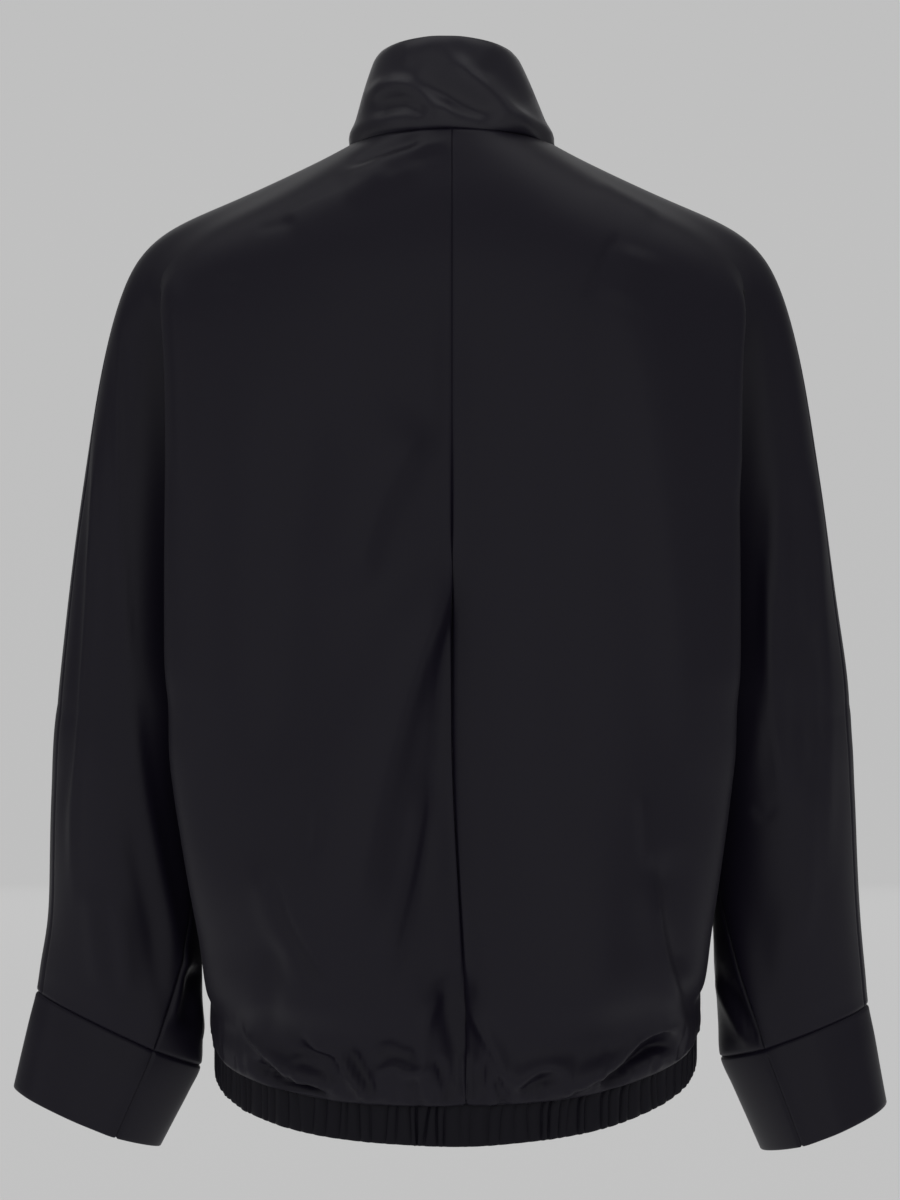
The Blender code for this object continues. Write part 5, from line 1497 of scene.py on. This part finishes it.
def set_along(name, line, shape, pitch, finish):
    """A mesh of copies of a shape along a line of places."""
    data = bpy.data.curves.new(name + " path", "CURVE")
    data.dimensions = "3D"
    spline = data.splines.new("POLY")
    spline.points.add(len(line) - 1)
    spline.points.foreach_set("co", np.append(line, np.ones((len(line), 1)), axis=1).ravel())
    path = shown(name + " path", data)
    copies = path.modifiers.new("copies", "NODES")
    copies.node_group = ALONG
    for socket, value in (("Shape", shape), ("Pitch", pitch), ("Finish", finish)):
        copies[ALONG_SOCKETS[socket]] = value
    mesh = bpy.data.meshes.new_from_object(path.evaluated_get(bpy.context.evaluated_depsgraph_get()))
    bpy.data.objects.remove(path)
    bpy.data.curves.remove(data)
    mesh.name = name
    print("%s: %d faces" % (name, len(mesh.polygons)))
    return shown(name, mesh)


ALONG, ALONG_SOCKETS = along_tree()

# %% Moulded plastic, woven tape, thread and enamel
def moulded_plastic():
    """Black acetal: smooth, a little cloudy, with a faint orange peel from the mould."""
    material, tree, shader = new_material("moulded teeth", (0.016, 0.016, 0.018, 1.0), 0.34)
    cloud = speckle(tree, (node(tree, "ShaderNodeTexCoord"), "Object"), 900.0, 3.0)
    vary_gloss(tree, shader, cloud, 0.26, 0.42)
    raise_relief(tree, shader, (cloud, "Fac"), 0.2, 0.04 * MM)
    return material


def woven_tape():
    """Polyester tape: fine ribs across it, and a second wave down it that makes a weave of them."""
    material, tree, shader = new_material("woven tape", (0.011, 0.0105, 0.013, 1.0), 0.8,
                                          Specular_IOR_Level=0.25, Sheen_Weight=0.06)
    place = (node(tree, "ShaderNodeTexCoord"), "Object")
    ribs = bands(tree, place, "X", 0.6 * MM, Distortion=0.4)
    picks = bands(tree, place, "Z", 0.45 * MM, Distortion=0.4)
    weave = node(tree, "ShaderNodeMath", {0: (ribs, "Fac"), 1: (picks, "Fac")}, operation="MULTIPLY")
    vary_colour(tree, shader, (weave, "Value"), (0.008, 0.0076, 0.0095, 1.0), (0.016, 0.0152, 0.018, 1.0))
    raise_relief(tree, shader, (weave, "Value"), 0.5, 0.12 * MM)
    return material


def sewing_thread():
    """Black polyester thread, twisted: short slanting bands along each stitch."""
    material, tree, shader = new_material("sewing thread", (0.014, 0.013, 0.018, 1.0), 0.5)
    twist = node(tree, "ShaderNodeTexWave", {"Vector": (node(tree, "ShaderNodeTexCoord"), "Object"),
                                             "Scale": 700.0}, bands_direction="DIAGONAL")
    raise_relief(tree, shader, (twist, "Fac"), 0.4, 0.08 * MM)
    return material


def black_enamel():
    """Enamelled zinc: a glossy black coat that is thinner, and so a little lighter, in soft patches."""
    material, tree, shader = new_material("black enamel", (0.024, 0.024, 0.027, 1.0), 0.3, Metallic=0.6,
                                          Coat_Weight=0.5, Coat_Roughness=0.12)
    worn = speckle(tree, (node(tree, "ShaderNodeTexCoord"), "Object"), 420.0, 6.0)
    vary_gloss(tree, shader, worn, 0.24, 0.46, **{"From Min": 0.45, "From Max": 0.7})
    vary_colour(tree, shader, (worn, "Fac"), (0.02, 0.02, 0.023, 1.0), (0.045, 0.045, 0.048, 1.0))
    return material


teeth_finish = moulded_plastic()
tape_finish = woven_tape()
thread_finish = sewing_thread()
metal_finish = black_enamel()
for name, obj in frame["nodes"].items():
    if name.startswith("zip_tape") or name in ("zip_box", "zip_slider", "pull_tab"):
        obj.data.materials.clear()
        obj.data.materials.append(tape_finish if name.startswith("zip_tape") else metal_finish)
print("zip finishes:", teeth_finish.name, tape_finish.name, metal_finish.name)

# %% The cord that each row grips, which closes the gaps between the teeth
TEETH_DEPTH = 1.8 * MM          # from the outside of the cloth to the middle of the teeth
CORD_FROM = 0.9 * MM            # from the middle of the zip
CORD_TO = 3.9 * MM
CORD_THICKNESS = 0.6 * MM
CORD_STOPS_BELOW_TOP = 2.0 * MM
CORD_STARTS_ABOVE_FOOT = 0.5 * MM


def cord(name, sign):
    """A flat ribbon up the zip, from its foot to its top."""
    corners = ((CORD_FROM, 1), (CORD_TO, 1), (CORD_TO, -1), (CORD_FROM, -1))
    verts = np.stack([front_line(sign * x, TEETH_DEPTH + way * CORD_THICKNESS / 2, CORD_STOPS_BELOW_TOP,
                                 CORD_STARTS_ABOVE_FOOT) for x, way in corners], axis=1)
    return shown(name, closed_mesh(name, verts.reshape(-1, 3).tolist(), len(verts), 4, tape_finish))


# %% The rows of teeth, and the stitching beside them
TOOTH_PITCH = 2.5 * MM
TEETH_STOP_BELOW_TOP = 5.0 * MM
TEETH_START_ABOVE_FOOT = 10.6 * MM
STITCH_PITCH = 3.0 * MM
STITCH_INSET = 3.0 * MM         # from the front's edge
STITCH_RISE = 0.05 * MM
STITCHES_STOP = 3.0 * MM        # short of both ends
for side, sign in SIDES.items():
    start = TEETH_START_ABOVE_FOOT + (TOOTH_PITCH / 2 if sign < 0 else 0.0)
    teeth = set_along("zip_teeth_" + side, front_line(0.0, TEETH_DEPTH, TEETH_STOP_BELOW_TOP, start),
                      tooth_of[side], TOOTH_PITCH, teeth_finish)
    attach(teeth, "jacket")
    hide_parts("zip_chain_" + side)
    gripped = cord("zip_cord_" + side, sign)
    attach(gripped, "jacket")
    line = front_line(sign * (FRONT_EDGE_X * MM + STITCH_INSET), -STITCH_RISE, STITCHES_STOP, STITCHES_STOP)
    stitches = set_along("stitches_" + side, line, thread, STITCH_PITCH, thread_finish)
    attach(stitches, "jacket")

# %% [markdown]
# ## The studio
#
# A pale floor that curves up into a pale wall, a large soft light overhead, one behind the camera, one in
# front of the jacket and two tall ones at the sides. The light is broad on purpose: satin shows the shape of
# every lamp. The wall glows a little by itself, which keeps it even.

# %% The studio: a round floor that curves up into a wall on all sides
STUDIO_FLOOR_Z = -0.84
STUDIO_RADIUS = 5.2
COVE_RADIUS = 1.3
COVE_STEPS = 16
STUDIO_TOP_Z = 4.5
TURNS = 64
cove = np.arange(COVE_STEPS + 1) / COVE_STEPS * math.pi / 2
profile = [(STUDIO_RADIUS - COVE_RADIUS * (1 - math.sin(angle)),
            STUDIO_FLOOR_Z + COVE_RADIUS * (1 - math.cos(angle))) for angle in cove]
profile.append((STUDIO_RADIUS, STUDIO_TOP_Z))
around = np.arange(TURNS) / TURNS * 2 * math.pi
wall_verts = [(r * math.cos(turn), r * math.sin(turn), z) for r, z in profile for turn in around]
wall_faces = tube(len(profile), TURNS, capped=False)
studio_paint, _, _ = new_material("studio paint", (0.12, 0.12, 0.12, 1.0), 0.9, Specular_IOR_Level=0.1,
                                  Emission_Color=(1.0, 1.0, 1.0, 1.0), Emission_Strength=0.468)
for name, verts, faces in (("studio floor", wall_verts[:TURNS], [range(TURNS)]),
                           ("studio wall", wall_verts, wall_faces)):
    mesh = new_mesh(name, verts, faces, studio_paint)
    mesh.polygons.foreach_set("use_smooth", [name == "studio wall"] * len(faces))
    studio = shown(name, mesh)
    studio.visible_glossy = name == "studio floor"    # satin would mirror the pale walls at its edges
print("studio:", len(wall_faces) + 1, "faces")

# %% Lights
def softbox(name, place, target, width, height, power):
    """A rectangular light at a place that shines at a target."""
    light = bpy.data.lights.new(name, "AREA")
    light.shape = "RECTANGLE"
    light.size = width
    light.size_y = height
    light.energy = power
    lamp = shown(name, light)
    lamp.location = place
    lamp.rotation_euler = (Vector(target) - Vector(place)).to_track_quat("-Z", "Y").to_euler()


softbox("overhead", (0.0, 0.1, 1.7), (0.0, 0.0, -0.2), 3.2, 1.5, 12)
softbox("behind the camera", (0.0, 3.3, 0.2), (0.0, 0.0, -0.3), 4.6, 4.0, 25)
softbox("in front", (0.0, -3.2, 0.8), (0.0, 0.0, -0.35), 3.2, 3.2, 14)
for side, sign in SIDES.items():
    softbox("soft wall " + side, (sign * 3.4, 2.0, 0.0), (0.0, 0.0, -0.3), 2.4, 3.6, 8 + 3 * sign)

# %% The air and the way colours are shown
world = bpy.data.worlds.new("studio air")
bpy.context.scene.world = world
world.use_nodes = True
fill(world.node_tree.nodes["Background"], {"Color": (1.0, 1.0, 1.0, 1.0), "Strength": 0.17})
bpy.context.scene.view_settings.view_transform = "Standard"

# %% Camera
camera_data = bpy.data.cameras.new("camera")
camera_data.lens = 101.4
camera = shown("camera", camera_data)
camera.location = (0.0014, 2.4, -0.3195)
camera.rotation_euler = (math.pi / 2, 0.0, math.pi)
bpy.context.scene.camera = camera
print("camera: %.2f m behind the jacket's middle" % camera.location.y)
